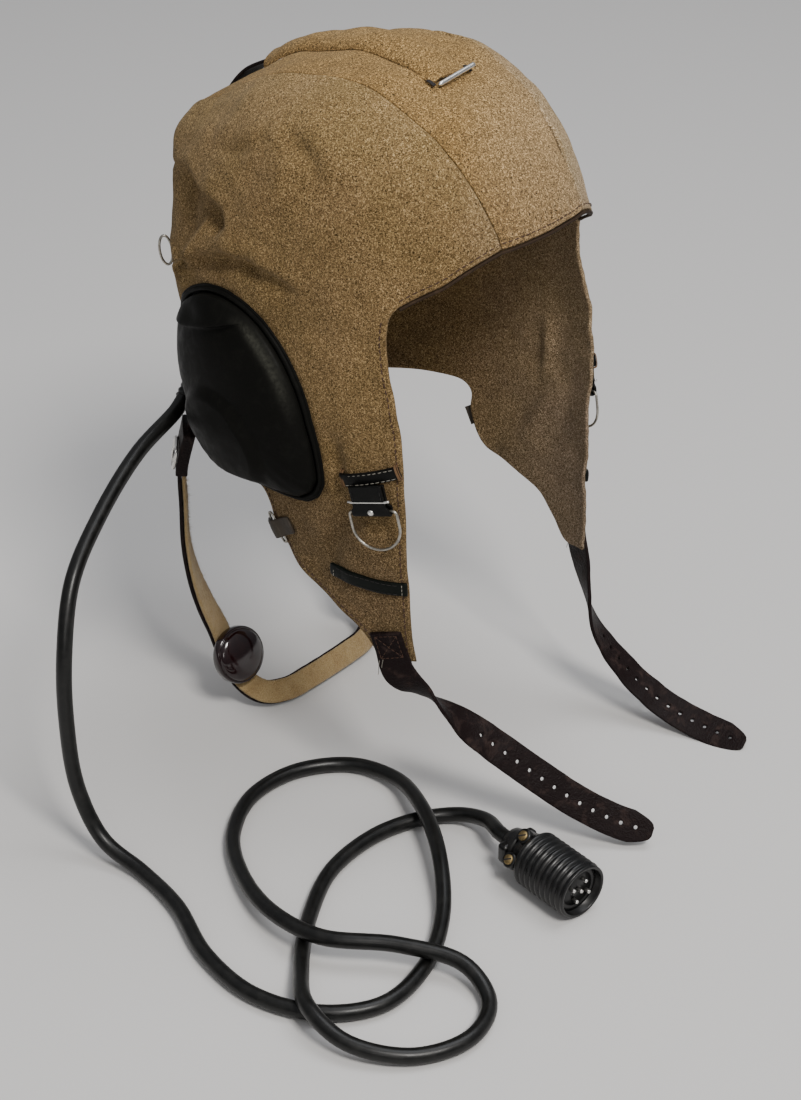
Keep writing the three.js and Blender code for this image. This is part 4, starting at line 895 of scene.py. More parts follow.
def make_plug():
    """Round ribbed plug with a clamp behind and pins in its hollow face."""
    pieces = []
    ribs = 9
    rim, recess, first = 2.2, 9.0, 7.0
    rib, lip = 1.35, 2.0
    profile = [(0.01, 0.0), (8.6, 0.0), (9.4, 0.3), (10.4, 1.6), (11.6, 5.6)]
    profile.append((PLUG_RADIUS - rib, first - 0.3))
    pitch = (PLUG_LENGTH - lip - first) / ribs
    for i in range(ribs):
        start = first + i * pitch
        for share in np.linspace(0, 1, 12, endpoint=False):
            wave = 0.5 - 0.5 * math.cos(share * TAU)
            profile.append((PLUG_RADIUS - rib * (1 - wave ** 0.45), start + share * pitch))
    profile += [(PLUG_RADIUS - 0.9, PLUG_LENGTH - lip), (PLUG_RADIUS - 0.5, PLUG_LENGTH - 1.2)]
    profile += [(PLUG_RADIUS - 0.55, PLUG_LENGTH - 0.4), (PLUG_RADIUS - 1.0, PLUG_LENGTH)]
    profile += [(PLUG_RADIUS - rim + 0.3, PLUG_LENGTH), (PLUG_RADIUS - rim, PLUG_LENGTH - 0.4)]
    profile += [(PLUG_RADIUS - rim, PLUG_LENGTH - recess), (0.01, PLUG_LENGTH - recess)]
    body = lathe("plug_shell", profile, PLUG_REAR, PLUG_AXIS, 72)
    pieces.append(dress(body, BAKELITE, "plug_body", slot="black_bakelite"))

    back = PLUG_LENGTH - recess + GAP
    front = back + 5
    radius = PLUG_RADIUS - rim - GAP
    face = [(0.01, back), (radius, back), (radius, front - 0.4), (radius - 0.4, front)]
    face += [(radius - 2.2, front), (radius - 2.6, front - 0.6), (radius - 3.0, front), (0.01, front)]
    insert = lathe("plug_face", face, PLUG_REAR, PLUG_AXIS, 56)
    pieces.append(dress(insert, BAKELITE, "plug_insert", slot="black_bakelite"))

    for i in range(5):
        node = f"plug_pin_{i + 1}"
        low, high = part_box(node)
        centre = (np.array(low) + np.array(high)) / 2 / MM
        base = centre - PLUG_AXIS * 1.5
        pin = [(0.01, 0), (1.0, 0), (1.0, 2.5), (0.75, 2.9), (0.01, 3.0)]
        pieces.append(dress(lathe(f"{node}_round", pin, base, PLUG_AXIS, 16), STEEL, node, slot="steel"))

    clamp_axes = [np.cross(PLUG_AXIS, (0, 0, 1)), PLUG_AXIS, np.array((0, 0, 1))]
    clamp = [(0.01, -CLAMP_LENGTH - GAP), (6.6, -CLAMP_LENGTH - GAP), (7.6, -CLAMP_LENGTH + 0.2)]
    clamp += [(8.3, -6), (9.6, -2.5), (10.2, -1.2), (10.2, -GAP), (0.01, -GAP)]
    collar = lathe("plug_collar", clamp, PLUG_REAR, PLUG_AXIS, 56)
    pieces.append(dress(collar, BAKELITE, "plug_clamp", slot="black_bakelite"))
    middle = PLUG_REAR - PLUG_AXIS * (CLAMP_LENGTH / 2 + GAP)
    ears = box_solid("clamp_ears", middle, clamp_axes, (11.0, 3.0, 5.5), 2.2)
    pieces.append(dress(ears, BAKELITE))
    # two screws in small bosses on the side that faces up and forward
    facing = clamp_axes[0] * 0.73 + clamp_axes[2] * 0.68
    beside = clamp_axes[2] * 0.73 - clamp_axes[0] * 0.68
    for i, off in enumerate((-6.6, 6.6)):
        node = f"clamp_screw_{i + 1}"
        seat = PLUG_REAR + PLUG_AXIS * 2.9 + beside * off + facing * 10.4
        boss = [(0.01, -6.0), (3.8, -6.0), (3.8, 0.3), (3.4, 0.9), (0.01, 0.9)]
        pieces.append(dress(lathe(f"{node}_boss", boss, seat, facing, 28), BAKELITE))
        head = [(0.01, 0.6), (2.5, 0.6), (2.5, 1.3), (2.0, 1.8), (0.01, 2.0)]
        pieces.append(dress(lathe(f"{node}_head", head, seat, facing, 24), BRASS, node, slot="brass"))
        # a thin black bar on each screw head is painted shade standing for its slot
        slot_axes = [beside * 0.6 + PLUG_AXIS * 0.8, facing, PLUG_AXIS * 0.6 - beside * 0.8]
        painted_slot_shade = box_solid(f"{node}_slot", seat + facing * 1.9, slot_axes, (2.0, 0.22, 0.32), 0.05)
        pieces.append(dress(painted_slot_shade, THREAD_BLACK))
    return pieces


# Cloth panels

# Edges of the cloth in the world's y and z, and half the width of the middle panel at each y
BROW = [(-98, 43.5), (-93, 42.5), (-87, 36.5), (-81, 30.5), (-71, 23.7), (-66, 20)]
FLAP_FRONT = [
    (-63.6, 15.5), (-63, 8), (-63.6, 0), (-66, -12), (-69, -22), (-72, -37), (-73.5, -52), (-74.2, -80),
    (-74.4, -104), (-75.2, -126), (-76.2, -147), (-77.5, -160),
]
FLAP_REAR = [
    (-62, -162), (-53, -152.2), (-44, -144.2), (-33.6, -138.4), (-18.4, -131.6), (-8, -126.8), (-2, -120),
    (4, -108), (5, -99), (10, -94), (28, -92.5), (60, -92),
]
NAPE_Z = FLAP_REAR[-1][1]
STRIP = np.array([
    (-130, 29), (-99, 29.5), (-90, 32.5), (-75, 35), (-50, 37.5), (-15, 40), (30, 42), (70, 39), (100, 34),
    (130, 33),
])


def strip_half(y):
    return np.interp(y, STRIP[:, 0], STRIP[:, 1])


def ledge_down(turn, height_at, high_level=-150):
    """down at which a column of the form first lies below height_at(y)."""
    turn = np.asarray(turn, float)

    def below(down):
        p = tilt(plain_point(turn, down), 1)
        return p[..., 2] < height_at(p[..., 1])

    return bisect(np.full(turn.shape, 0.35), np.full(turn.shape, down_of(high_level)), below)


def brow_height(y):
    rows = np.array(BROW)
    return np.interp(y, rows[:, 0], rows[:, 1])


def brow_down(turn):
    return ledge_down(turn, brow_height, -20)


def nape_down(turn):
    return ledge_down(turn, lambda y: np.full(np.shape(y), float(NAPE_Z)))


def seam_turn(down, front, inset):
    """turn of the seam beside the middle strip, front or back half, right side."""
    down = np.asarray(down, float)
    way = 1 if front else -1

    def inside(share):
        p = plain_point(way * share * math.pi / 2, down)
        return np.abs(p[..., 0]) < strip_half(p[..., 1]) + inset

    share = bisect(np.zeros(down.shape), np.ones(down.shape), inside)
    return way * share * math.pi / 2


def seam_line(inset):
    """The right seam from the brow over the crown to the nape, as turn and down."""
    top = 0.1
    while abs(plain_point(0.0, top)[0]) < strip_half(0.0) + inset:
        top += 0.0005
    steps = np.linspace(0, 1, 160) ** 2
    front = top + (0.95 - top) * steps
    front_turn = seam_turn(front, True, inset)
    keep = front < brow_down(front_turn)
    back = top + (1.6 - top) * steps
    back_turn = seam_turn(back, False, inset)
    keep_back = back < nape_down(back_turn)
    turn = np.concatenate([front_turn[keep][::-1], back_turn[keep_back][1:]])
    down = np.concatenate([front[keep][::-1], back[keep_back][1:]])
    return turn, down


# Lengths on the form that lay the panels flat: crown to temples, and one radian round the head
DOME_ARC = 140.0
GIRTH = 90.0


def arc_of(down):
    down = np.asarray(down, float)
    return np.where(down <= 1, DOME_ARC * down, DOME_ARC - HEM_LEVEL * (down - 1))


def down_of_arc(arc):
    arc = np.asarray(arc, float)
    return np.where(arc <= DOME_ARC, arc / DOME_ARC, 1 + (arc - DOME_ARC) / -HEM_LEVEL)


def side_flat(turn, down):
    return vec(turn * GIRTH, -arc_of(down))


def side_form(flat):
    return flat[..., 0] / GIRTH, down_of_arc(-flat[..., 1])


def middle_flat(turn, down):
    return vec(arc_of(down) * np.cos(turn), arc_of(down) * np.sin(turn))


def middle_form(flat):
    return np.arctan2(flat[..., 1], flat[..., 0]), down_of_arc(np.hypot(flat[..., 0], flat[..., 1]))


# Rows of points inside a panel's edge: how far in, and the least distance from the edge that is kept
EDGE_ROWS = ((0.2, 0.15), (0.55, 0.42), (0.95, 0.75), (1.7, 1.4))
INNER_LEAST = 2.3
# Rows of a grid of triangles lie this share of its spacing apart
TRIANGLE_ROW = 0.866
# Edges at a seam are rounded this much more tightly
SEAM_ROUNDING = 1.8


def cut_panel(edges, to_form, detail, spacing=1.7):
    """Points and faces of a sheet of cloth with rounded edges. edges is a list of (kind, flat points)."""
    outline, kinds = [], []
    for kind, points in edges:
        count = max(2, int(walk(points)[-1] / spacing))
        part = even(np.asarray(points, float), count + 1)[:-1]
        outline.append(part)
        kinds += [kind] * len(part)
    outline = np.concatenate(outline)
    kinds = np.array(kinds)
    area = (outline[:, 0] * np.roll(outline[:, 1], -1) - np.roll(outline[:, 0], -1) * outline[:, 1]).sum()
    way = np.roll(outline, -1, 0) - np.roll(outline, 1, 0)
    inward = unit(vec(-way[:, 1], way[:, 0]) * (1 if area > 0 else -1))

    def real(flat):
        return form_point(*to_form(flat))

    stretch = np.linalg.norm(real(outline + inward * 0.5) - real(outline), axis=1) * 2
    low, high = outline.min(0), outline.max(0)
    xs = np.arange(low[0], high[0], spacing)
    ys = np.arange(low[1], high[1], spacing * TRIANGLE_ROW)
    grid = np.array([(x + (spacing / 2 if j % 2 else 0), y) for j, y in enumerate(ys) for x in xs])
    grid = grid[inside_polygon(grid, outline)]
    rim = real(outline)
    tree = kdtree.KDTree(len(rim))
    for i, p in enumerate(rim):
        tree.insert(p, i)
    tree.balance()

    def edge_distance(flat):
        found = [tree.find(p) for p in real(flat)]
        index = np.array([f[1] for f in found])
        return np.array([f[2] for f in found]), index

    kept = []
    for inset, least in EDGE_ROWS:
        row = outline + inward * (inset / stretch)[:, None]
        row = row[inside_polygon(row, outline)]
        kept.append(row[edge_distance(row)[0] > least])
    grid = grid[edge_distance(grid)[0] > INNER_LEAST]
    flat = np.concatenate([outline, *kept, grid])
    n = len(outline)
    rim_edges = [(i, (i + 1) % n) for i in range(n)]
    out = geometry.delaunay_2d_cdt([Vector(p) for p in flat], rim_edges, [list(range(n))], 1, 1e-6)
    flat = np.array([tuple(p) for p in out[0]])
    origin = [group[0] if group else -1 for group in out[3]]
    faces = [tuple(f) for f in out[2]]
    distance, nearest = edge_distance(flat)
    distance = np.array([0.0 if 0 <= o < n else d for o, d in zip(origin, distance)])
    turn, down = to_form(flat)
    half = CLOTH / 2
    edge = np.minimum(distance * np.where(kinds[nearest] == "seam", SEAM_ROUNDING, 1.0), half)
    round_off = half - np.sqrt(np.maximum(half ** 2 - (half - edge) ** 2, 0))
    relief = detail(turn, down, distance, kinds[nearest]) * smoothstep(distance, 0, 1.2)
    outer = form_point(turn, down, -round_off + relief, cloth=True)
    inner = form_point(turn, down, -CLOTH + round_off + np.minimum(relief + 0.5, 0), cloth=True)
    on_rim = distance == 0
    inner_index = np.zeros(len(flat), int)
    inner_index[~on_rim] = len(flat) + np.arange((~on_rim).sum())
    inner_index[on_rim] = np.nonzero(on_rim)[0]
    points = np.concatenate([outer, inner[~on_rim]])
    back = [tuple(int(inner_index[i]) for i in reversed(f)) for f in faces]
    return points, faces + back


# Stitching along the flap: how far in from its front and its rear edge
FRONT_STITCH, REAR_STITCH = 2.6, 3.2
# Millimetres between the tucks along the brow, and the gathers along the seams and the flap's front edge
TUCK_PITCH, SEAM_PITCH, FRONT_PITCH = 6.6, 6.1, 7.3
# Millimetres for one radian round the brow, and for one unit of down along the seams
BROW_GIRTH, SEAM_ARC = 88.0, 150.0


def hem_detail(turn, down, distance, kind, felled=-0.15, tucks=2.1):
    """Turned hems, a stitch groove, and the puckers of the brow and seams."""
    hem = np.isin(kind, ("front", "rear", "nape"))
    lift = np.where(hem, 0.45 * (1 - smoothstep(distance, 6.2, 7.6)), 0)
    front_groove = np.exp(-(((distance - FRONT_STITCH) / 0.5) ** 2))
    lift -= np.where(kind == "front", 0.34 * front_groove, 0)
    rear_groove = np.exp(-(((distance - REAR_STITCH) / 0.6) ** 2))
    lift -= np.where(np.isin(kind, ("rear", "nape")), 0.22 * rear_groove, 0)
    brow_mm, seam_mm, level = turn * BROW_GIRTH, down * SEAM_ARC, form_point(turn, down)[..., 2]
    phase = (brow_mm / TUCK_PITCH + 0.22 * np.sin(brow_mm / 11)) % 1.0
    tuck = np.exp(-(((phase - 0.5) / 0.21) ** 2)) * (0.65 + 0.35 * np.sin(brow_mm / 5.3))
    band = smoothstep(distance, 2, 4.2) * (1 - smoothstep(distance, 5.5, 11))
    lift -= np.where(kind == "brow", tucks * tuck * band, 0)
    gather = np.sin(seam_mm * TAU / SEAM_PITCH + 1.7 * np.sin(seam_mm / 11))
    gather = gather * (0.5 + 0.5 * np.sin(seam_mm / 17))
    band = smoothstep(distance, 0.5, 2) * (1 - smoothstep(distance, 3, 9))
    lift += np.where(kind == "seam", 0.16 * gather * band + felled * (1 - smoothstep(distance, 1, 5)), 0)
    gather = np.sin(level * TAU / FRONT_PITCH + 1.2 * np.sin(level / 9))
    lift += np.where(kind == "front", 0.15 * gather * (1 - smoothstep(distance, 5, 12)), 0)
    return lift


def make_panels():
    """The two side panels with their flaps, the middle panel and the flaps' stitching."""
    seam = seam_line(GAP / 2)
    front_line = smooth_path(np.array([BROW[-1], *FLAP_FRONT], float), 150)
    front = on_side(front_line[:, 0], front_line[:, 1])
    brow_turn = np.linspace(front[0][0], seam[0][0], 90)[1:]
    brow = (brow_turn, brow_down(brow_turn))
    rear_line = smooth_path(np.array([FLAP_FRONT[-1], *FLAP_REAR], float), 150)
    rear = on_side(rear_line[:, 0], rear_line[:, 1])
    nape_turn = np.linspace(rear[0][-1], seam[0][-1], 40)[1:]
    nape = (nape_turn, nape_down(nape_turn))
    edges = [
        ("seam", side_flat(*seam)),
        ("nape", side_flat(nape[0][::-1], nape[1][::-1])),
        ("rear", side_flat(rear[0][::-1], rear[1][::-1])),
        ("front", side_flat(front[0][::-1], front[1][::-1])),
        ("brow", side_flat(*brow)),
    ]

    def side_detail(*where):
        return hem_detail(*where, felled=0.5, tucks=0.3)

    points, faces = cut_panel(edges, side_form, side_detail)
    for side, mirror in SIDES:
        panel = solid(f"cloth_side_{side}", mirror(points), faces)
        dress(panel, CLOTH_SIDE, f"side_panel_{side}", slot="cloth_brown")

    seam = seam_line(-GAP / 2)
    right = middle_flat(*seam)
    left = (right * (-1, 1))[::-1]
    brow_turn = np.linspace(math.pi - seam[0][0], seam[0][0], 60)
    nape_turn = np.linspace(seam[0][-1], -math.pi - seam[0][-1], 60)
    edges = [
        ("seam", right),
        ("nape", middle_flat(nape_turn, nape_down(nape_turn))),
        ("seam", left),
        ("brow", middle_flat(brow_turn, brow_down(brow_turn))),
    ]
    points, faces = cut_panel(edges, middle_form, hem_detail, spacing=1.4)
    panel = solid("cloth_middle", points, faces)
    dress(panel, CLOTH_MIDDLE, "center_panel", slot="cloth_middle")

    # a row of stitching along the flap's front edge and one along its rear edge
    for line, inset in ((front_line, FRONT_STITCH), (rear_line, REAR_STITCH)):
        t = tangents(line)
        middle = np.array([-10.0, -60.0])
        inward = vec(-t[:, 1], t[:, 0])
        inward *= np.sign((inward * (middle - line)).sum(1, keepdims=True))
        path = line + inward * inset
        keep = slice(6, -3)
        p = side_point(path[keep, 0], path[keep, 1], 0.36, cloth=True)
        n = side_normal(path[keep, 0], path[keep, 1])
        for seed, (_, mirror) in zip((3, 4), SIDES):
            brown_threads.row(mirror(p), mirror(n), 2.4, 0.7, 0.32, seed=seed)


def make_brow_binding():
    """Thin dark tape folded under the brow's edge."""
    start = on_side(BROW[-1][0] - 1.0, BROW[-1][1] + 1.0)[0]
    turn = np.linspace(start, math.pi - start, 240)
    down = brow_down(turn)
    outer = form_point(turn, down, 0.3, cloth=True)
    inner = form_point(turn, down, -CLOTH - 0.3, cloth=True)
    middle = (outer + inner) / 2
    middle[:, 2] = np.minimum(outer[:, 2], inner[:, 2]) - GAP - 0.7
    out = unit(outer - inner)
    t = tangents(middle)
    up = np.cross(out, t)
    up *= np.sign(up[:, 2:3])
    angle = np.arange(14) / 14 * TAU
    index = np.arange(len(turn))
    wobble = 1 + 0.06 * np.sin(index * 0.7) + 0.04 * np.sin(index * 0.23)
    sections = []
    for i in range(len(turn)):
        a = np.sign(np.cos(angle)) * np.abs(np.cos(angle)) ** 0.7 * 1.3 * wobble[i]
        b = np.sign(np.sin(angle)) * np.abs(np.sin(angle)) ** 0.7 * 0.75
        sections.append(middle[i] + a[:, None] * out[i] + b[:, None] * up[i])
    dress(loft("brow_tape", sections), BINDING, "brow_binding", slot="binding")
    inset = form_point(turn, down - 2.2 / DOME_ARC, 0.15, cloth=True)
    brown_threads.row(inset, tilt(form_normal(turn, down), 1), 2.6, 0.9, 0.26, seed=6)


# Crown: channel, its bar and the strap behind it

CHANNEL_FRONT, CHANNEL_BACK = -61.0, 42.0
CHANNEL_HALF, CHANNEL_HEIGHT, CHANNEL_WALL, CHANNEL_SEAT = 13.0, 5.2, 1.4, 0.8
CROWN_STRAP_WIDTH, CROWN_STRAP_THICKNESS, CROWN_STRAP_SEAT = 17.0, 1.6, 0.75


def crown_spot(x, y):
    """turn and down of the crown's point with the head frame x and y."""
    x, y = np.broadcast_arrays(np.asarray(x, float), np.asarray(y, float))
    half, _, front, back = HEAD_SLICES[0, 1:]
    turn = np.arctan2(-y / np.where(y < 0, front, back), -x / half)
    target = np.hypot(x, y)

    def too_far(down):
        p = plain_point(turn, down)
        return np.hypot(p[..., 0], p[..., 1]) > target

    return turn, bisect(np.zeros(x.shape), np.ones(x.shape), too_far)


def make_channel():
    """Arched channel of cloth along the crown, with a steel bar in its front mouth."""
    stations = np.linspace(CHANNEL_FRONT, CHANNEL_BACK, 90)
    shares = np.sin(np.linspace(-1, 1, 29) * math.pi / 2)
    sections = []
    for y in stations:
        rows = []
        for half, sink in ((CHANNEL_HALF, 0.0), (CHANNEL_HALF - CHANNEL_WALL, CHANNEL_WALL)):
            turn, down = crown_spot(shares * half, y)
            base = form_point(turn, down, CHANNEL_SEAT - 1.15 * shares ** 6, cloth=True)
            up = tilt(form_normal(turn, down), 1)
            rise = 0.5 + 0.5 * smoothstep(y, CHANNEL_FRONT, CHANNEL_FRONT + 16)
            arch = (CHANNEL_HEIGHT * rise - sink) * np.sqrt(1 - 0.985 * shares ** 2)
            swell = 0.35 * ripple(base, 21, 12) + 0.12 * ripple(base, 9, 13)
            rows.append(base + up * (arch + swell * (1 - shares ** 4))[:, None])
        sections.append(np.concatenate([rows[0], rows[1][::-1]]))
    channel = loft("cloth_channel", sections)
    round_edges(channel, 0.45, 2)
    apply_modifiers(channel)
    dress(channel, CLOTH_MIDDLE, "top_channel", slot="cloth_middle")

    # steel bar across the mouth and a few tacks at the mouth's ends
    seat = form_point(*crown_spot(0.8, CHANNEL_FRONT - 1.8), 3.5)
    half, radius, slope = 12.8, 1.1, 0.12
    along = np.linspace(-half, half, 24)
    shape = radius * np.minimum(1, np.sqrt(np.maximum(0.0, (half - np.abs(along)) / radius) + 0.04))
    bar = tube("mouth_bar", seat + along[:, None] * (1, 0, slope), shape, 16)
    dress(bar, STEEL, "channel_bar", slot="steel")
    for side in (-1, 1):
        for k in range(5):
            x = side * (CHANNEL_HALF - 0.9 + 0.42 * k)
            ends = [form_point(*crown_spot(x, CHANNEL_FRONT + d), 1.0) for d in (2.6, -1.4)]
            black_threads.stitch(*ends, (0, -0.3, 1), 0.26)


def make_crown_strap():
    """Leather strap through the channel and down the back, standing off a little behind the channel."""
    front, back = -55, 99
    y = np.linspace(front, back, 90)
    share = (y - front) / (back - front)
    off = CROWN_STRAP_SEAT + 1.5 * np.exp(-(((share - 0.74) / 0.10) ** 2))
    over = form_point(*crown_spot(0.0 * y, y), off)
    tail = form_point(-math.pi / 2, down_of(np.array([52.0, 44.0, 36.0])), CROWN_STRAP_SEAT)
    path = smooth_path(np.concatenate([over[::6], tail]), 120)
    t = tangents(path)
    facing = np.cross((1.0, 0.0, 0.0), t)
    facing *= np.sign(facing[:, 2:3] + 1e-6)
    strap = ribbon("crown_leather", path, facing, CROWN_STRAP_WIDTH, CROWN_STRAP_THICKNESS)
    dress(strap, DARK_LEATHER, "crown_strap", slot="dark_leather")


# Ear cups

CUP_MIDDLE = np.array((14.0, -40.0))
# Reach of the cup's edge from its middle at each angle, in degrees from the back upwards
CUP_REACH = np.array([
    (0, 56), (35, 52.5), (70, 49.3), (98, 44.2), (125, 39.2), (154, 38), (178, 41.2), (198, 47), (212, 55),
    (221, 60.5), (231, 54.5), (249, 47), (264, 45.6), (285, 49.8), (325, 54.5), (360, 56),
])
CUP_HEIGHT = 13.0
# The dome is flatter in its middle and fuller at its edge with higher powers
CUP_FLATNESS, CUP_FULLNESS = 2.6, 2.2
CUP_DISC_MIDDLE = np.array((19.0, -64.0))
CUP_DISC_RADIUS, CUP_DISC_HEIGHT = 25.0, 3.0
# Height of the cup's base over the cloth
CUP_SEAT = 0.9
# Overlap of the leather across the upper part, from the rear edge forwards
CUP_LIP = np.array([
    (58, -17), (50, -15.4), (44, -14.3), (34, -10.9), (26, -8), (14, -3.1), (6, 0.2), (3, 2), (-1.5, 3.3),
])
# Middle of a dent behind the overlap
CUP_POCKET = np.array((40.0, -6.5))


def cup_spot(angle, out):
    """World y and z at an angle in degrees and a share of the way to the edge."""
    reach = sum(np.interp((angle + d) % 360, CUP_REACH[:, 0], CUP_REACH[:, 1]) for d in (-8, 0, 8)) / 3
    a = np.radians(angle)
    return CUP_MIDDLE[0] + reach * out * np.cos(a), CUP_MIDDLE[1] + reach * out * np.sin(a)


def cup_lift(y, z, angle, out):
    """Height of the cup's leather: dome, disc, the overlap across its top and gathers at its front edge."""
    dome = CUP_HEIGHT * (1 - np.minimum(1, out) ** CUP_FLATNESS) ** (1 / CUP_FULLNESS)
    away = np.hypot(y - CUP_DISC_MIDDLE[0], z - CUP_DISC_MIDDLE[1])
    disc = CUP_DISC_HEIGHT * (1 - smoothstep(away, CUP_DISC_RADIUS - 3.5, CUP_DISC_RADIUS + 4.0))
    # the lower rear part stands out further
    base = 1.6 * np.exp(-(((y - 30) / 26) ** 2) - ((z + 74) / 24) ** 2)
    inner = 1 - smoothstep(out, 0.8, 1)
    lip = -nearest_on(y, z, smooth_path(CUP_LIP, 40))[0]
    reach = smoothstep(y, -5, 10) * inner
    overlap = np.where(lip > 0, 1.5 * np.exp(-(lip / 7.0) ** 2), -2.3 * np.exp(-(lip / 11.0) ** 2))
    overlap = overlap * np.tanh(np.abs(lip) / 0.5)
    pocket = np.hypot((y - CUP_POCKET[0]) / 13, (z - CUP_POCKET[1]) / 6)
    height = dome + (disc + base) * inner + overlap * reach - 1.2 * np.exp(-pocket ** 2) * inner
    # leather gathered along the front edge
    a = np.radians(angle)
    front = smoothstep(angle, 128, 150) * (1 - smoothstep(angle, 214, 226))
    rim = np.exp(-(((out - 0.86) / 0.06) ** 2))
    folds = np.sin(a * 205 + 1.8 * np.sin(a * 23)) * (0.6 + 0.4 * np.sin(a * 37 + 2))
    height += front * rim * (0.15 * folds + 0.10 * np.sin(a * 97 + 1))
    slack = np.sin(a * 31 + 2 * np.sin(a * 5)) * np.exp(-(((out - 0.78) / 0.12) ** 2))
    height += 0.08 * slack * smoothstep(angle, 110, 150)
    swell = np.sin(y / 6.1 + z / 9.7 + 1.2) * np.sin(y / 11.3 - z / 5.9)
    return height + 0.14 * swell * inner


def make_cups():
    """Leather ear cups and the piping round them."""
    around = 300
    outs = np.concatenate([[0.99, 0.975, 0.96, 0.945], np.linspace(0.93, 0.06, 74)])
    angle = np.arange(around) / around * 360
    rows, painted_highlight = [], []
    for out in outs:
        y, z = cup_spot(angle, out)
        lift = np.zeros(around) if out == outs[0] else np.maximum(0.5, cup_lift(y, z, angle, out))
        rows.append(side_point(y, z, CUP_SEAT + lift))
        # painted highlight along the cup's front upper shoulder
        front = smoothstep(angle, 88, 112) * (1 - smoothstep(angle, 132, 190))
        painted_highlight.append(front * np.exp(-(((out - 0.90) / 0.05) ** 2)))
    zero = np.array(0.0)
    peak_lift = float(cup_lift(np.array(CUP_MIDDLE[0]), np.array(CUP_MIDDLE[1]), zero, zero))
    peak = side_point(*CUP_MIDDLE, CUP_SEAT + peak_lift)
    back = []
    for out in (0.95, 0.6, 0.2):
        y, z = cup_spot(angle, out)
        back.append(side_point(y, z, CUP_SEAT))
    bottom = side_point(*CUP_MIDDLE, CUP_SEAT)
    points = np.concatenate(rows + back + [peak[None], bottom[None]])
    n = len(outs)
    faces = grid_faces(n, around, wrap_columns=True)
    top = (n + len(back)) * around
    faces += [((n - 1) * around + j, (n - 1) * around + (j + 1) % around, top) for j in range(around)]
    loops = [0, n, n + 1, n + 2]
    for a, b in zip(loops[:-1], loops[1:]):
        for j in range(around):
            k = (j + 1) % around
            faces.append((a * around + k, a * around + j, b * around + j, b * around + k))
    last = loops[-1] * around
    faces += [(last + (j + 1) % around, last + j, top + 1) for j in range(around)]
    for side, mirror in SIDES:
        cup = solid(f"cup_{side}", mirror(points), faces)
        dress(cup, CUP_LEATHER, f"ear_cup_{side}", slot="black_leather")
        shares = np.zeros(len(points))
        shares[: n * around] = np.concatenate(painted_highlight)
        cup.data.attributes.new(PAINTED_HIGHLIGHT, "FLOAT", "POINT").data.foreach_set("value", shares)

    # piping round the edge: a cord under the leather and a narrow hem outside it
    profile = [(-2.6, 0.05), (-2.6, 0.3), (-0.6, 0.35)]
    for a in np.linspace(-0.35, 1.0, 12) * math.pi:
        profile.append((0.95 + 1.25 * -math.cos(a), 1.35 + 1.15 * math.sin(a)))
    for a in np.linspace(0.7, -0.5, 9) * math.pi:
        profile.append((2.65 + 0.65 * math.cos(a), 0.75 + 0.6 * math.sin(a)))
    angle = np.arange(260) / 260 * 360
    sections = []
    y0, z0 = cup_spot(angle, 1.0)
    reach, lift = np.array(profile).T
    for k, a in enumerate(np.radians(angle)):
        out = reach + 0.07 * math.sin(9 * a + 1) + 0.05 * math.sin(23 * a)
        sections.append(side_point(y0[k] + out * math.cos(a), z0[k] + out * math.sin(a), lift + 2 * GAP))
    piping = loft("cup_piping_right", sections, closed=True)
    dress(piping, CUP_LEATHER, "ear_piping_right", slot="black_leather")
    mirror = loft("cup_piping_left", [across(q)[::-1] for q in sections], closed=True)
    dress(mirror, CUP_LEATHER, "ear_piping_left", slot="black_leather")


# Leather bands, D-rings and hooks on the flaps

SEAM_LIFT = GAP + 0.2
BAND_THICKNESS = 1.5
# Bands on the flap: y and z of both ends, how far the middle sags, width
UPPER_BAND = ((-44.5, -66.2), (-72.5, -55.8), 0.6, 6.2)
LOWER_BAND = ((-34.4, -119.4), (-74.4, -119.1), 0.4, 6.9)
# Ring: wire, half the length of its bar, how far it hangs down, and y, z and height of the bar's middle
RING_WIRE, RING_HALF_BAR, RING_DROP = 0.72, 12.0, 20.0
RING_BAR = (-61.0, -77.0, 3.4)
# Tab: bore for the ring's bar, thickness, width, how far it rises over the bar
RING_BORE, RING_TAB_LEATHER, RING_TAB_WIDTH, RING_TAB_RISE = 1.2, 1.3, 16.4, 13.8
# Pin through the tab: height over the ring's bar, both ends along it, radius
PIN_RISE, PIN_ENDS, PIN_RADIUS = 5.6, (-10.6, 10.4), 0.62
# Stitches down both sides of the tab: distance from its middle, upper and lower end
TAB_STITCH, TAB_STITCH_TOP, TAB_STITCH_FOOT = 7.2, 11, 6.6


def pair(name, maker, material, *nodes, bodies=("helmet", "helmet"), slot=None):
    """A piece on the right side and its mirror image on the left one. maker(name, mirror)."""
    for side, mirror in SIDES:
        obj = maker(f"{name}_{side}", mirror)
        body = bodies[0 if side == "right" else 1]
        dress(obj, material, *(f"{n}_{side}" for n in nodes), body=body, slot=slot)


def band_rows(band, count=60, v=0.0, lift=0.0):
    """Places along a band, v millimetres up from its middle line."""
    (y1, z1), (y2, z2), bow, _ = band
    share = np.linspace(0, 1, count)
    way = unit((y2 - y1, z2 - z1))
    up = np.array((way[1], -way[0])) if way[0] < 0 else np.array((-way[1], way[0]))
    up *= np.sign(up[1])
    sag = -bow * np.sin(share * math.pi)
    y = y1 + (y2 - y1) * share + up[0] * v
    z = z1 + (z2 - z1) * share + sag + up[1] * v
    return side_point(y, z, lift, cloth=True), side_normal(y, z)


def make_band(name, node, band, material, slot):
    points, normals = band_rows(band, 60, 0.0, SEAM_LIFT)
    width = band[3] * np.ones(60)
    width[0] = width[-1] = band[3] - 0.5

    def maker(label, mirror):
        return ribbon(label, mirror(points), mirror(normals), width, BAND_THICKNESS, crown=0.25)

    pair(name, maker, material, node, slot=slot)


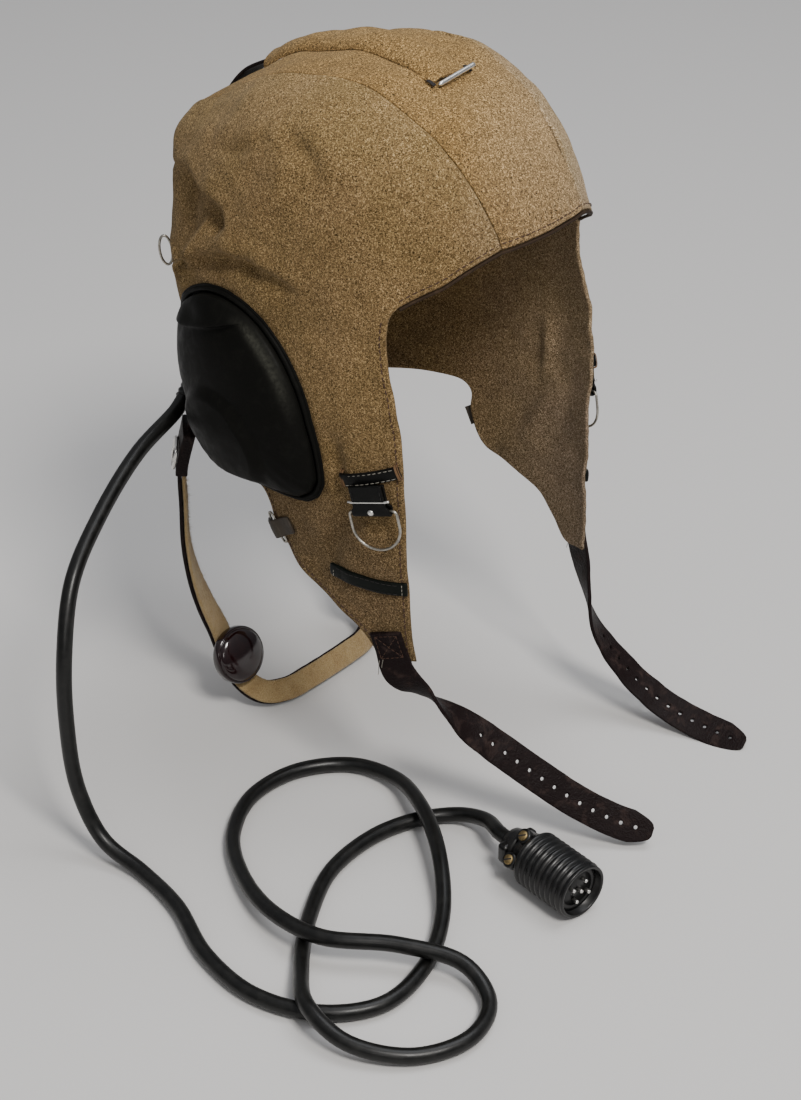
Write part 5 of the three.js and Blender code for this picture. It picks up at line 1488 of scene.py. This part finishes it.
def make_bands():
    make_band("sewn_band_upper", "upper_band", UPPER_BAND, BAND_LEATHER, "black_leather")
    make_band("sewn_band_lower", "lower_band", LOWER_BAND, GREEN_LEATHER, "green_leather")
    top = SEAM_LIFT + BAND_THICKNESS + 0.22
    for _, mirror in SIDES:
        for v in (-2.2, 2.2):
            p, n = band_rows(UPPER_BAND, 60, v, top)
            light_threads.row(mirror(p[5:-5]), mirror(n[5:-5]), 1.9, 0.75, 0.2, seed=7)
        for v in (-2.5, 2.5):
            p, n = band_rows(LOWER_BAND, 60, v, top)
            black_threads.row(mirror(p[6:-6]), mirror(n[6:-6]), 1.9, 0.75, 0.18, seed=9)
        ends = [band_rows(LOWER_BAND, 60, v, top - 0.05) for v in (-2.9, 2.9)]
        for i in (3, -4):
            line = np.linspace(ends[0][0][i], ends[1][0][i], 12)
            light_threads.row(mirror(line), mirror(ends[0][1][i]), 1.5, 0.55, 0.2, seed=11)
    # thread whipped round both ends of the upper band
    for end in (1, -2):
        for k in range(4):
            i = end + (k - 1) * (1 if end > 0 else -1)
            loop = []
            for a in np.linspace(0, math.pi, 13):
                v = 3.75 * math.cos(a) * (1 + 0.05 * math.sin(k * 2.1))
                h = SEAM_LIFT - 0.35 + (BAND_THICKNESS + 0.85) * math.sin(a) ** 0.5
                p, n = band_rows(UPPER_BAND, 60, v, h)
                loop.append(p[i])
            loop = np.array(loop)
            loop[:, 1] += 0.35 * math.sin(k * 1.7)
            for label, mirror in SIDES:
                wire = tube(f"whipping_{label}_{0 if end > 0 else 1}_{k}", mirror(loop), 0.24, 8)
                dress(wire, THREAD_COPPER)


def ring_frame():
    """Middle of the right ring's bar, its direction, where the ring hangs, and inward."""
    middle = side_point(*RING_BAR)
    bar = unit((0.28, -0.935, 0.215))
    plumb = np.array((0.0, 0.0, -1.0))
    hang = unit(plumb - bar * (plumb @ bar))
    return middle, bar, hang, np.cross(bar, hang)


def make_rings():
    """D-shaped rings, the folded tabs that hold them and the tabs' pins and studs."""
    middle, bar, hang, inward = ring_frame()
    corner = 2.2
    spots = [(x, 0.0) for x in np.linspace(-RING_HALF_BAR + corner, RING_HALF_BAR - corner, 16)]
    spots += [
        (RING_HALF_BAR - corner + corner * math.sin(a), corner - corner * math.cos(a))
        for a in np.linspace(0.2, math.pi / 2, 7)
    ]
    straight = RING_DROP - RING_HALF_BAR
    spots += [(RING_HALF_BAR, d) for d in np.linspace(corner + 1, straight - 0.8, 4)]
    spots += [
        (RING_HALF_BAR * math.cos(a), straight + RING_HALF_BAR * math.sin(a))
        for a in np.linspace(0, math.pi, 40)
    ]
    spots += [(-RING_HALF_BAR, d) for d in np.linspace(straight - 0.8, corner + 1, 4)]
    spots += [
        (-RING_HALF_BAR + corner - corner * math.sin(a), corner - corner * math.cos(a))
        for a in np.linspace(math.pi / 2, 0.2, 7)
    ]
    loop = middle + np.array([bar * x + hang * d for x, d in spots])

    def ring(label, mirror):
        return tube(label, mirror(loop), 0.9 * RING_WIRE, 14, closed=True, facing=mirror(inward))

    pair("flap_ring", ring, WIRE_STEEL, "d_ring", bodies=("right_ring", "left_ring"), slot="steel")

    # tab: one strip of leather folded round the ring's bar
    up = side_point(RING_BAR[0] + 2, RING_BAR[1] + 8, RING_BAR[2]) - side_point(*RING_BAR)
    up = unit(up - bar * (up @ bar))
    toward = np.cross(up, bar)
    toward *= np.sign(toward @ inward)
    half = RING_BORE + RING_TAB_LEATHER / 2
    turn = [(-half - 0.15, RING_TAB_RISE), (-half - 0.1, 8.0), (-half - 0.05, 4.0), (-half, 1.6)]
    turn += [(-half * math.cos(a), -half * math.sin(a)) for a in np.linspace(0, math.pi, 15)]
    turn += [(half, 1.6), (half - 0.8, 4.0), (half - 1.0, RING_TAB_RISE - 1)]
    dense = smooth_path(np.array(turn), 60)
    path = middle + dense[:, :1] * toward + dense[:, 1:] * up
    way = tangents(path)
    facing = np.cross(way, bar)
    facing *= np.sign((facing[0] @ -toward))
    low = 1 - smoothstep(dense[:, 1], 1.4, 3.2)
    width = RING_TAB_WIDTH + 2.6 * low

    def tab(label, mirror):
        return ribbon(
            label, mirror(path), mirror(facing), width, RING_TAB_LEATHER, -RING_TAB_LEATHER / 2, edge=0.4)

    pair("ring_loop", tab, BAND_LEATHER, "ring_tab", slot="black_leather")

    out = -toward
    # short pin through the tab above the ring, with its ends showing
    reach = np.linspace(*PIN_ENDS, 24)[:, None]
    pin_path = middle + up * PIN_RISE + out * (half + 0.2) + reach * bar
    pin_path -= out * 0.5 * (np.abs(reach) > 9)
    stud = [(0.01, 0.0), (1.5, 0.0), (1.5, 0.35), (1.25, 0.75), (0.6, 1.0), (0.01, 1.05)]
    stud_base = middle + up * 0.4 + out * (half + RING_TAB_LEATHER / 2 - 0.15) + bar * 0.3
    for label, mirror in SIDES:
        pin = tube(f"tab_pin_{label}", mirror(pin_path), PIN_RADIUS, 12)
        dress(pin, STEEL)
        rivet = lathe(f"tab_rivet_{label}", stud, mirror(stud_base), mirror(out), 24)
        dress(rivet, STEEL)
        # a thin black disc on the tab is painted shade for a slit in the leather
        hole_shade_base = stud_base + up * 2.6 - out * 0.05
        hole_shade_profile = [(0.01, 0.0), (1.15, 0.0), (1.1, 0.16), (0.01, 0.18)]
        hole_shade = lathe(f"tab_eye_{label}", hole_shade_profile, mirror(hole_shade_base), mirror(out), 20)
        dress(hole_shade, THREAD_BLACK)
    for _, mirror in SIDES:
        for x in (-TAB_STITCH, TAB_STITCH):
            above = out * (half + RING_TAB_LEATHER / 2 + 0.3)
            rise = np.linspace(TAB_STITCH_TOP, TAB_STITCH_FOOT, 10)[:, None]
            line = middle + up * rise + bar * x + above
            black_threads.row(mirror(line), mirror(out), 1.6, 0.6, 0.17, seed=13)


HOOK_TAB = ((5.2, -112.8), (-10.0, -104.5))
HOOK_TAB_WIDTH = 10.0


def make_hooks():
    """Rolled leather loop on the flap's rear edge, with a wire link through it."""
    (y1, z1), (y2, z2) = HOOK_TAB
    share = np.linspace(0, 1, 40)
    y, z = y1 + (y2 - y1) * share, z1 + (z2 - z1) * share
    bulge = 3.0 * np.exp(-(((share - 0.36) / 0.24) ** 2))
    path = side_point(y, z, SEAM_LIFT + bulge, cloth=True)
    normals = side_normal(y, z)
    width = HOOK_TAB_WIDTH - 1.2 * share

    def tab(label, mirror):
        return ribbon(label, mirror(path), mirror(normals), width, 1.3, edge=0.45, crown=0.2)

    pair("hook_loop", tab, HOOK_LEATHER, "hook_tab", slot="dark_leather")
    way = unit((y2 - y1, z2 - z1))
    rise = np.array((way[1], -way[0]))
    rise *= np.sign(rise[1])
    middle = np.array((y1, z1)) + (np.array((y2, z2)) - (y1, z1)) * 0.36
    spots = []
    for a in np.arange(40) / 40 * TAU:
        v = 8.3 * np.sign(math.sin(a)) * abs(math.sin(a)) ** 0.6
        w = 2.1 * np.sign(math.cos(a)) * abs(math.cos(a)) ** 0.6
        spots.append(middle + rise * v + way * w)
    spots = np.array(spots)
    loop = side_point(spots[:, 0], spots[:, 1], SEAM_LIFT + 1.5, cloth=True)

    def wire(label, mirror):
        return tube(label, mirror(loop), 0.55, 10, closed=True)

    pair("hook_link", wire, WIRE_STEEL, "hook_wire", slot="steel")


def make_nape_rings():
    """Thin wire rings that stand on the back of the head."""
    turn, level = -0.86, 22.0
    height, width, wire = 15.0, 6.0, 0.65
    down = down_of(level)
    seat = form_point(turn, down, -0.4)
    out = tilt(form_normal(turn, down), 1)
    up = unit(np.array((0.0, 0.0, 1.0)) - out * out[2])
    a = np.arange(48) / 48 * TAU
    loop = seat + out * (width / 2 * (1 + np.cos(a)))[:, None] + up * (height / 2 * np.sin(a))[:, None]

    def ring(label, mirror):
        return tube(label, mirror(loop), wire, 10, closed=True)

    pair("nape_link", ring, WIRE_STEEL, "nape_ring", slot="steel")


# Chin straps

STRAP_WIDTH, STRAP_THICKNESS = 16.4, 1.9
HOLE_COUNT, HOLE_RADIUS = 13, 1.0
# Length of the rounded tip, and the share of the width that its end keeps
TIP_LENGTH, TIP_SHARE = 11.0, 0.28
# First and last hole, as shares of the strap's length
HOLES_FROM, HOLES_TO = 0.43, 0.95
# On the flap only y and z; then x, y, z and the roll of the outer face from the front right above
NEAR_STRAP = [
    (-64, -145), (-67, -156), (-72.8, -71, -166, 26), (-69, -75.5, -173, 48), (-64, -80, -178.5, 74),
    (-58.5, -90, -187, 112), (-53, -100, -196, 146), (-45, -113, -208, 166), (-36, -129, -221, 172),
    (-27, -145, -233, 174), (-17, -162, -242.5, 176), (-8, -178, -247, 178),
]
FAR_STRAP = [
    (-64, -145), (-67, -156), (74.6, -70, -169, -116), (74, -75, -188, -96), (73.5, -83, -207, -68),
    (76, -95, -222, -46), (79, -112, -236, -32), (82, -128, -244.5, -24), (86, -146, -250, -20),
    (90, -169, -253, -20),
]


def strap_places(rows, side):
    front_right = np.array((-0.66, -0.55, 0.51))
    flip = np.array((1 if side == RIGHT else -1, 1, 1))
    seat = STRAP_THICKNESS / 2 + 2 * GAP
    points = np.array([side_point(*r, seat) * flip if len(r) == 2 else r[:3] for r in rows])
    t = tangents(points)
    normals = []
    for i, row in enumerate(rows):
        if len(row) == 2:
            normals.append(side_normal(*row) * flip)
            continue
        one = unit(front_right - t[i] * (front_right @ t[i]))
        roll = math.radians(row[3])
        normals.append(one * math.cos(roll) + np.cross(t[i], one) * math.sin(roll))
    return np.concatenate([points, normals], 1)


def on_strip(path, s, v, lift):
    """Point and face direction on a strip: s along it and v across it in millimetres."""
    step = walk(path)
    t, n, side = frames(path[:, :3], path[:, 3:])
    face = read_at(s, step, n)
    place = read_at(s, step, path[:, :3]) + read_at(s, step, side) * np.asarray(v)[..., None]
    return place + face * lift, face


def make_strap(name, node, rows, side):
    """Chin strap with punched holes, sewn to the flap's foot."""
    path = smooth_path(strap_places(rows, side), 220)
    step = walk(path)
    length = step[-1]
    left = (length - step) / TIP_LENGTH
    narrowing = TIP_SHARE + (1 - TIP_SHARE) * np.sqrt(np.clip(left, 0, 1))
    width = STRAP_WIDTH * np.where(left < 1, narrowing, 1)
    rng = np.random.default_rng(21 if side == RIGHT else 22)
    edge = np.interp(step, np.linspace(0, length, 40), rng.normal(0, 0.10, 40))
    wave = np.interp(step, np.linspace(0, length, 30), rng.normal(0, 0.22, 30)) * smoothstep(step, 20, 40)
    strap = ribbon(
        name, path[:, :3], path[:, 3:], width + edge, STRAP_THICKNESS, -STRAP_THICKNESS / 2, edge=0.55,
        crown=0.1, wave=wave)
    first, last = HOLES_FROM * length, HOLES_TO * length
    punch = [(0.01, -3), (HOLE_RADIUS, -3), (HOLE_RADIUS, 3), (0.01, 3)]
    cutters = []
    for i, s in enumerate(np.linspace(first, last, HOLE_COUNT)):
        p, n = on_strip(path, s, np.array(0.0), 0.0)
        cutters.append(lathe(f"{name}_punch_{i}", punch, p, n, 16))
    joined = join(cutters)
    modifier = strap.modifiers.new("holes", "BOOLEAN")
    modifier.operation = "DIFFERENCE"
    modifier.solver = "EXACT"
    modifier.object = joined
    bpy.context.view_layer.update()
    apply_modifiers(strap)
    bpy.data.objects.remove(joined)
    dress(strap, DARK_LEATHER, node, slot="dark_leather")

    # box and cross sewn where the strap joins the flap
    low, high, half = 1.6, 13.5, 5.9
    corners = [(low, -half), (low, half), (high, half), (high, -half)]
    corners += [(low, -half), (high, half), (low, half), (high, -half)]
    top = STRAP_THICKNESS / 2 + 0.22
    for (s1, v1), (s2, v2) in zip(corners[:-1], corners[1:]):
        p, n = on_strip(path, np.linspace(s1, s2, 12), np.linspace(v1, v2, 12), top)
        brown_threads.row(p, n, 1.7, 0.7, 0.2, seed=31)
    for k, (v, dx) in enumerate(((5.0, 0.0), (6.6, 1.0))):
        start, n = on_strip(path, np.array(high + 0.5), np.array(v if side == RIGHT else -v), 1.3)
        drop = np.linspace(0, 1, 16)[:, None]
        fall = start + drop * (0.5 * dx, 1.0 + dx, -8.0 - 2 * k) + n * np.sin(drop * 4 + k) * 0.7
        thread = tube(f"{name}_loose_{k}", fall, 0.16, 6)
        dress(thread, THREAD_LIGHT)


def join(objects):
    """One object with the meshes of several."""
    points, faces = [], []
    for obj in objects:
        start = len(points)
        points += [tuple(v.co) for v in obj.data.vertices]
        faces += [tuple(start + i for i in f.vertices) for f in obj.data.polygons]
    name = objects[0].name + "_all"
    for obj in objects:
        bpy.data.objects.remove(obj)
    return add_mesh(name, np.array(points) / MM, faces, smooth=False)


# Throat collar

# Middle of the collar's near half, from its top down to its lowest place
COLLAR = [
    (-70, 66, -81), (-70.5, 72, -103), (-69, 74, -126), (-67, 76, -152), (-63, 76, -173), (-59, 73, -191),
    (-54, 70, -207), (-50, 65.5, -225), (-48, 58, -239), (-43, 48, -245.5), (-31, 42, -247.3),
    (-15, 40.5, -247.3),
]
# Width of the collar, thickness of its leather and of its felt
COLLAR_WIDTH, COLLAR_LEATHER, COLLAR_FELT = 13.0, 1.7, 1.8
# Microphones: the row of COLLAR they sit at, their radius, how far they stand off the felt
CAPSULE_ROW, CAPSULE_RADIUS, CAPSULE_SEAT = 7, 14.2, 2.0


def collar_facing(p):
    """Direction of the felt face: inward at the neck, upward where the collar lies down."""
    p = np.asarray(p, float)
    drop = smoothstep(-p[..., 2], 150, 245)
    level = vec(-p[..., 0] * (1 - 1.4 * drop), -p[..., 1] - 30 * drop, 0 * drop)
    return unit(level) + drop[..., None] * (0, 0, 0.65)


def make_collar():
    """Leather collar with its felt and the two throat microphones."""
    half = np.array(COLLAR, float)
    path = smooth_path(np.concatenate([half, [(0, 40.3, -247.3)], across(half)[::-1]]), 300)
    facing = collar_facing(path)
    step = walk(path)
    rng = np.random.default_rng(41)
    edge = np.interp(step, np.linspace(0, step[-1], 90), rng.normal(0, 0.15, 90))
    lift = -COLLAR_LEATHER - GAP
    leather = ribbon("collar_leather", path, facing, COLLAR_WIDTH + edge, COLLAR_LEATHER, lift, edge=0.5)
    dress(leather, DARK_LEATHER, "mic_collar", slot="dark_leather")
    make_felt(path, facing, step, rng)

    rows = [half[CAPSULE_ROW + i] for i in (-1, 0, 1)]
    t = unit(rows[2] - rows[0])
    n = collar_facing(rows[1])
    n = unit(n - t * (n @ t))
    seat = rows[1] + n * (2 * GAP + COLLAR_FELT + CAPSULE_SEAT)
    r = CAPSULE_RADIUS + 1.2
    profile = [(0.01, 0), (r - 1.8, 0), (r - 1.2, 0.2), (r - 0.4, 1.0), (r, 2.0), (r, 4.6), (r - 0.15, 5.4)]
    profile += [(r - 0.6, 5.9), (r - 1.0, 6.0), (r - 1.25, 5.75), (r - 1.5, 5.9)]
    dome = r - 1.6
    profile += [(dome * math.cos(a), 6.1 + 3.9 * math.sin(a)) for a in np.linspace(0.05, math.pi / 2, 22)]
    for label, mirror in SIDES:
        capsule = lathe(f"throat_capsule_{label}", profile, mirror(seat), mirror(n), 72)
        dress(capsule, BURGUNDY, f"mic_capsule_{label}", slot="burgundy_bakelite")


FIBRE_COUNT = 7000


def make_felt(path, facing, step, rng):
    """Felt strip with an uneven face and loose fibres."""
    t, n, side = frames(path, facing)
    shares = np.linspace(-1, 1, 15)
    half = (COLLAR_WIDTH - 0.8) / 2
    sections = []
    for i, p in enumerate(path):
        top = [
            (x * half, GAP + COLLAR_FELT * (0.86 + 0.16 * rng.random()) - 0.5 * abs(x) ** 8)
            for x in shares
        ]
        low = [(x * half * 0.97, GAP) for x in shares[::-1]]
        loop = [p + side[i] * (a + rng.normal(0, 0.05)) + n[i] * b for a, b in top + low]
        sections.append(np.array(loop))
    felt = loft("collar_felt", sections)
    dress(felt, FELT, "mic_lining", slot="felt")
    count = FIBRE_COUNT
    s = rng.uniform(0, step[-1], count)
    v = rng.uniform(-1.03, 1.03, count) * half
    row = np.concatenate([path, n], 1)
    base, up = on_strip(row, s, v, GAP + COLLAR_FELT - 0.35)
    lean = rng.normal(0, 1, (count, 3))
    tip = base + up * rng.uniform(0.4, 1.3, (count, 1)) + lean * 0.75
    sideways = unit(np.cross(tip - base, rng.normal(0, 1, (count, 3))))
    other = unit(np.cross(tip - base, sideways))
    beside = base - sideways * 0.035
    corners = [base + sideways * 0.07, beside + other * 0.06, beside - other * 0.06]
    points = np.stack([*corners, tip], 1).reshape(-1, 3)
    faces = []
    for i in range(count):
        k = 4 * i
        faces += [(k, k + 2, k + 1), (k, k + 1, k + 3), (k + 1, k + 2, k + 3), (k + 2, k, k + 3)]
    dress(add_mesh("felt_fibres", points, faces), FELT)


# Folded leather that holds the buckle: width, thickness, level of its lower end
CHAPE_WIDTH, CHAPE_THICKNESS, CHAPE_END = 17.5, 6.0, -107.0
COLLAR_TAB_PATH = [(-70.2, 65.8, -66.5), (-70.4, 65, -73), (-70, 65.6, -80.2)]


def make_collar_tabs():
    """Strap ends, folded leather and buckles at the top of the collar."""
    path = smooth_path(np.array(COLLAR_TAB_PATH, float), 24)

    def tab(label, mirror):
        return ribbon(label, mirror(path), mirror(np.array((-0.7, 0.7, 0.0))), 7.0, 1.8, -0.9, edge=0.5)

    pair("collar_strap_end", tab, DARK_LEATHER, "collar_tab", slot="dark_leather")
    top = smooth_path(np.array(COLLAR[:4], float), 60)
    top = top[top[:, 2] > CHAPE_END]
    facing = collar_facing(top)

    def chape(label, mirror):
        lift = -CHAPE_THICKNESS / 2
        return ribbon(label, mirror(top), mirror(facing), CHAPE_WIDTH, CHAPE_THICKNESS, lift, edge=1.2)

    pair("collar_chape", chape, DARK_LEATHER)
    wide, high, wire = 15.2, 11.2, 0.9
    side, down, out = unit((0.7, 0.7, 0.0)), unit((-0.02, 0.25, -1.0)), unit((-0.7, 0.7, 0.2))
    middle = np.array((-70.6, 71.0, -98.0)) + out * 4.0
    corners = [(-1, -0.9), (-1, 0.9), (0, 1.1), (1, 0.9), (1, -0.9), (0, -1.1)]
    places = [middle + side * a * wide / 2 + down * b * high / 2 for a, b in corners]
    loop = smooth_path(np.array(places), 60, closed=True)
    prong = np.linspace(middle - down * high * 0.52, middle + down * high * 0.5, 16)
    prong += out * 0.9 * np.sin(np.linspace(0, math.pi, 16))[:, None]
    for label, mirror in SIDES:
        frame_piece = tube(f"buckle_frame_{label}", mirror(loop), wire, 12, closed=True)
        dress(frame_piece, STEEL, f"collar_buckle_{label}", slot="steel")
        dress(tube(f"buckle_prong_{label}", mirror(prong), 0.6, 10), STEEL)


make_camera()
cord, cord_length = make_cord()
plug_pieces = make_plug()
make_panels()
make_brow_binding()
make_channel()
make_crown_strap()
make_cups()
make_bands()
make_rings()
make_hooks()
make_nape_rings()
make_strap("chin_leather_right", "chin_strap_right", NEAR_STRAP, RIGHT)
make_strap("chin_leather_left", "chin_strap_left", FAR_STRAP, LEFT)
make_collar()
make_collar_tabs()


# Floor and light


def make_stage():
    """Pale floor, a soft sky that is lighter above, and three lamps."""
    s = Shade("pale_floor")
    s.set(Roughness=0.9)
    s.colour((0.62, 0.61, 0.60))
    bpy.ops.mesh.primitive_plane_add(size=12, location=(0, 0, (TABLE_Z - 0.2) * MM))
    floor = bpy.context.object
    floor.name = "floor"
    floor.data.materials.append(s.material)
    world = bpy.data.worlds.new("soft_light")
    world.use_nodes = True
    nodes, links = world.node_tree.nodes, world.node_tree.links
    coords = nodes.new("ShaderNodeTexCoord")
    split = nodes.new("ShaderNodeSeparateXYZ")
    links.new(coords.outputs["Generated"], split.inputs["Vector"])
    rise = nodes.new("ShaderNodeMapRange")
    links.new(split.outputs["Z"], rise.inputs["Value"])
    for key, value in (("From Min", 0.0), ("From Max", 0.9), ("To Min", 0.16), ("To Max", 0.58)):
        rise.inputs[key].default_value = value
    nodes["Background"].inputs["Color"].default_value = (0.84, 0.85, 0.88, 1)
    links.new(rise.outputs["Result"], nodes["Background"].inputs["Strength"])
    bpy.context.scene.world = world
    for name, place, aim, size, power, colour in (
        ("key", (-0.65, -1.4, 1.7), (0, 0, -0.05), 0.55, 46, (1.0, 0.97, 0.93)),
        ("fill", (-1.25, -1.0, 0.55), (0, 0, -0.1), 0.35, 2, (1.0, 0.98, 0.94)),
        ("top", (0.55, -0.3, 1.9), (0, 0, 0), 1.2, 18, (0.95, 0.97, 1)),
    ):
        data = bpy.data.lights.new(name, "AREA")
        data.size = size
        data.energy = power
        data.color = colour
        light = bpy.data.objects.new(name, data)
        light.location = place
        light.rotation_euler = (Vector(aim) - Vector(place)).to_track_quat("-Z", "Y").to_euler()
        bpy.context.scene.collection.objects.link(light)


for threads in (light_threads, brown_threads, black_threads):
    threads.finish()
make_stage()
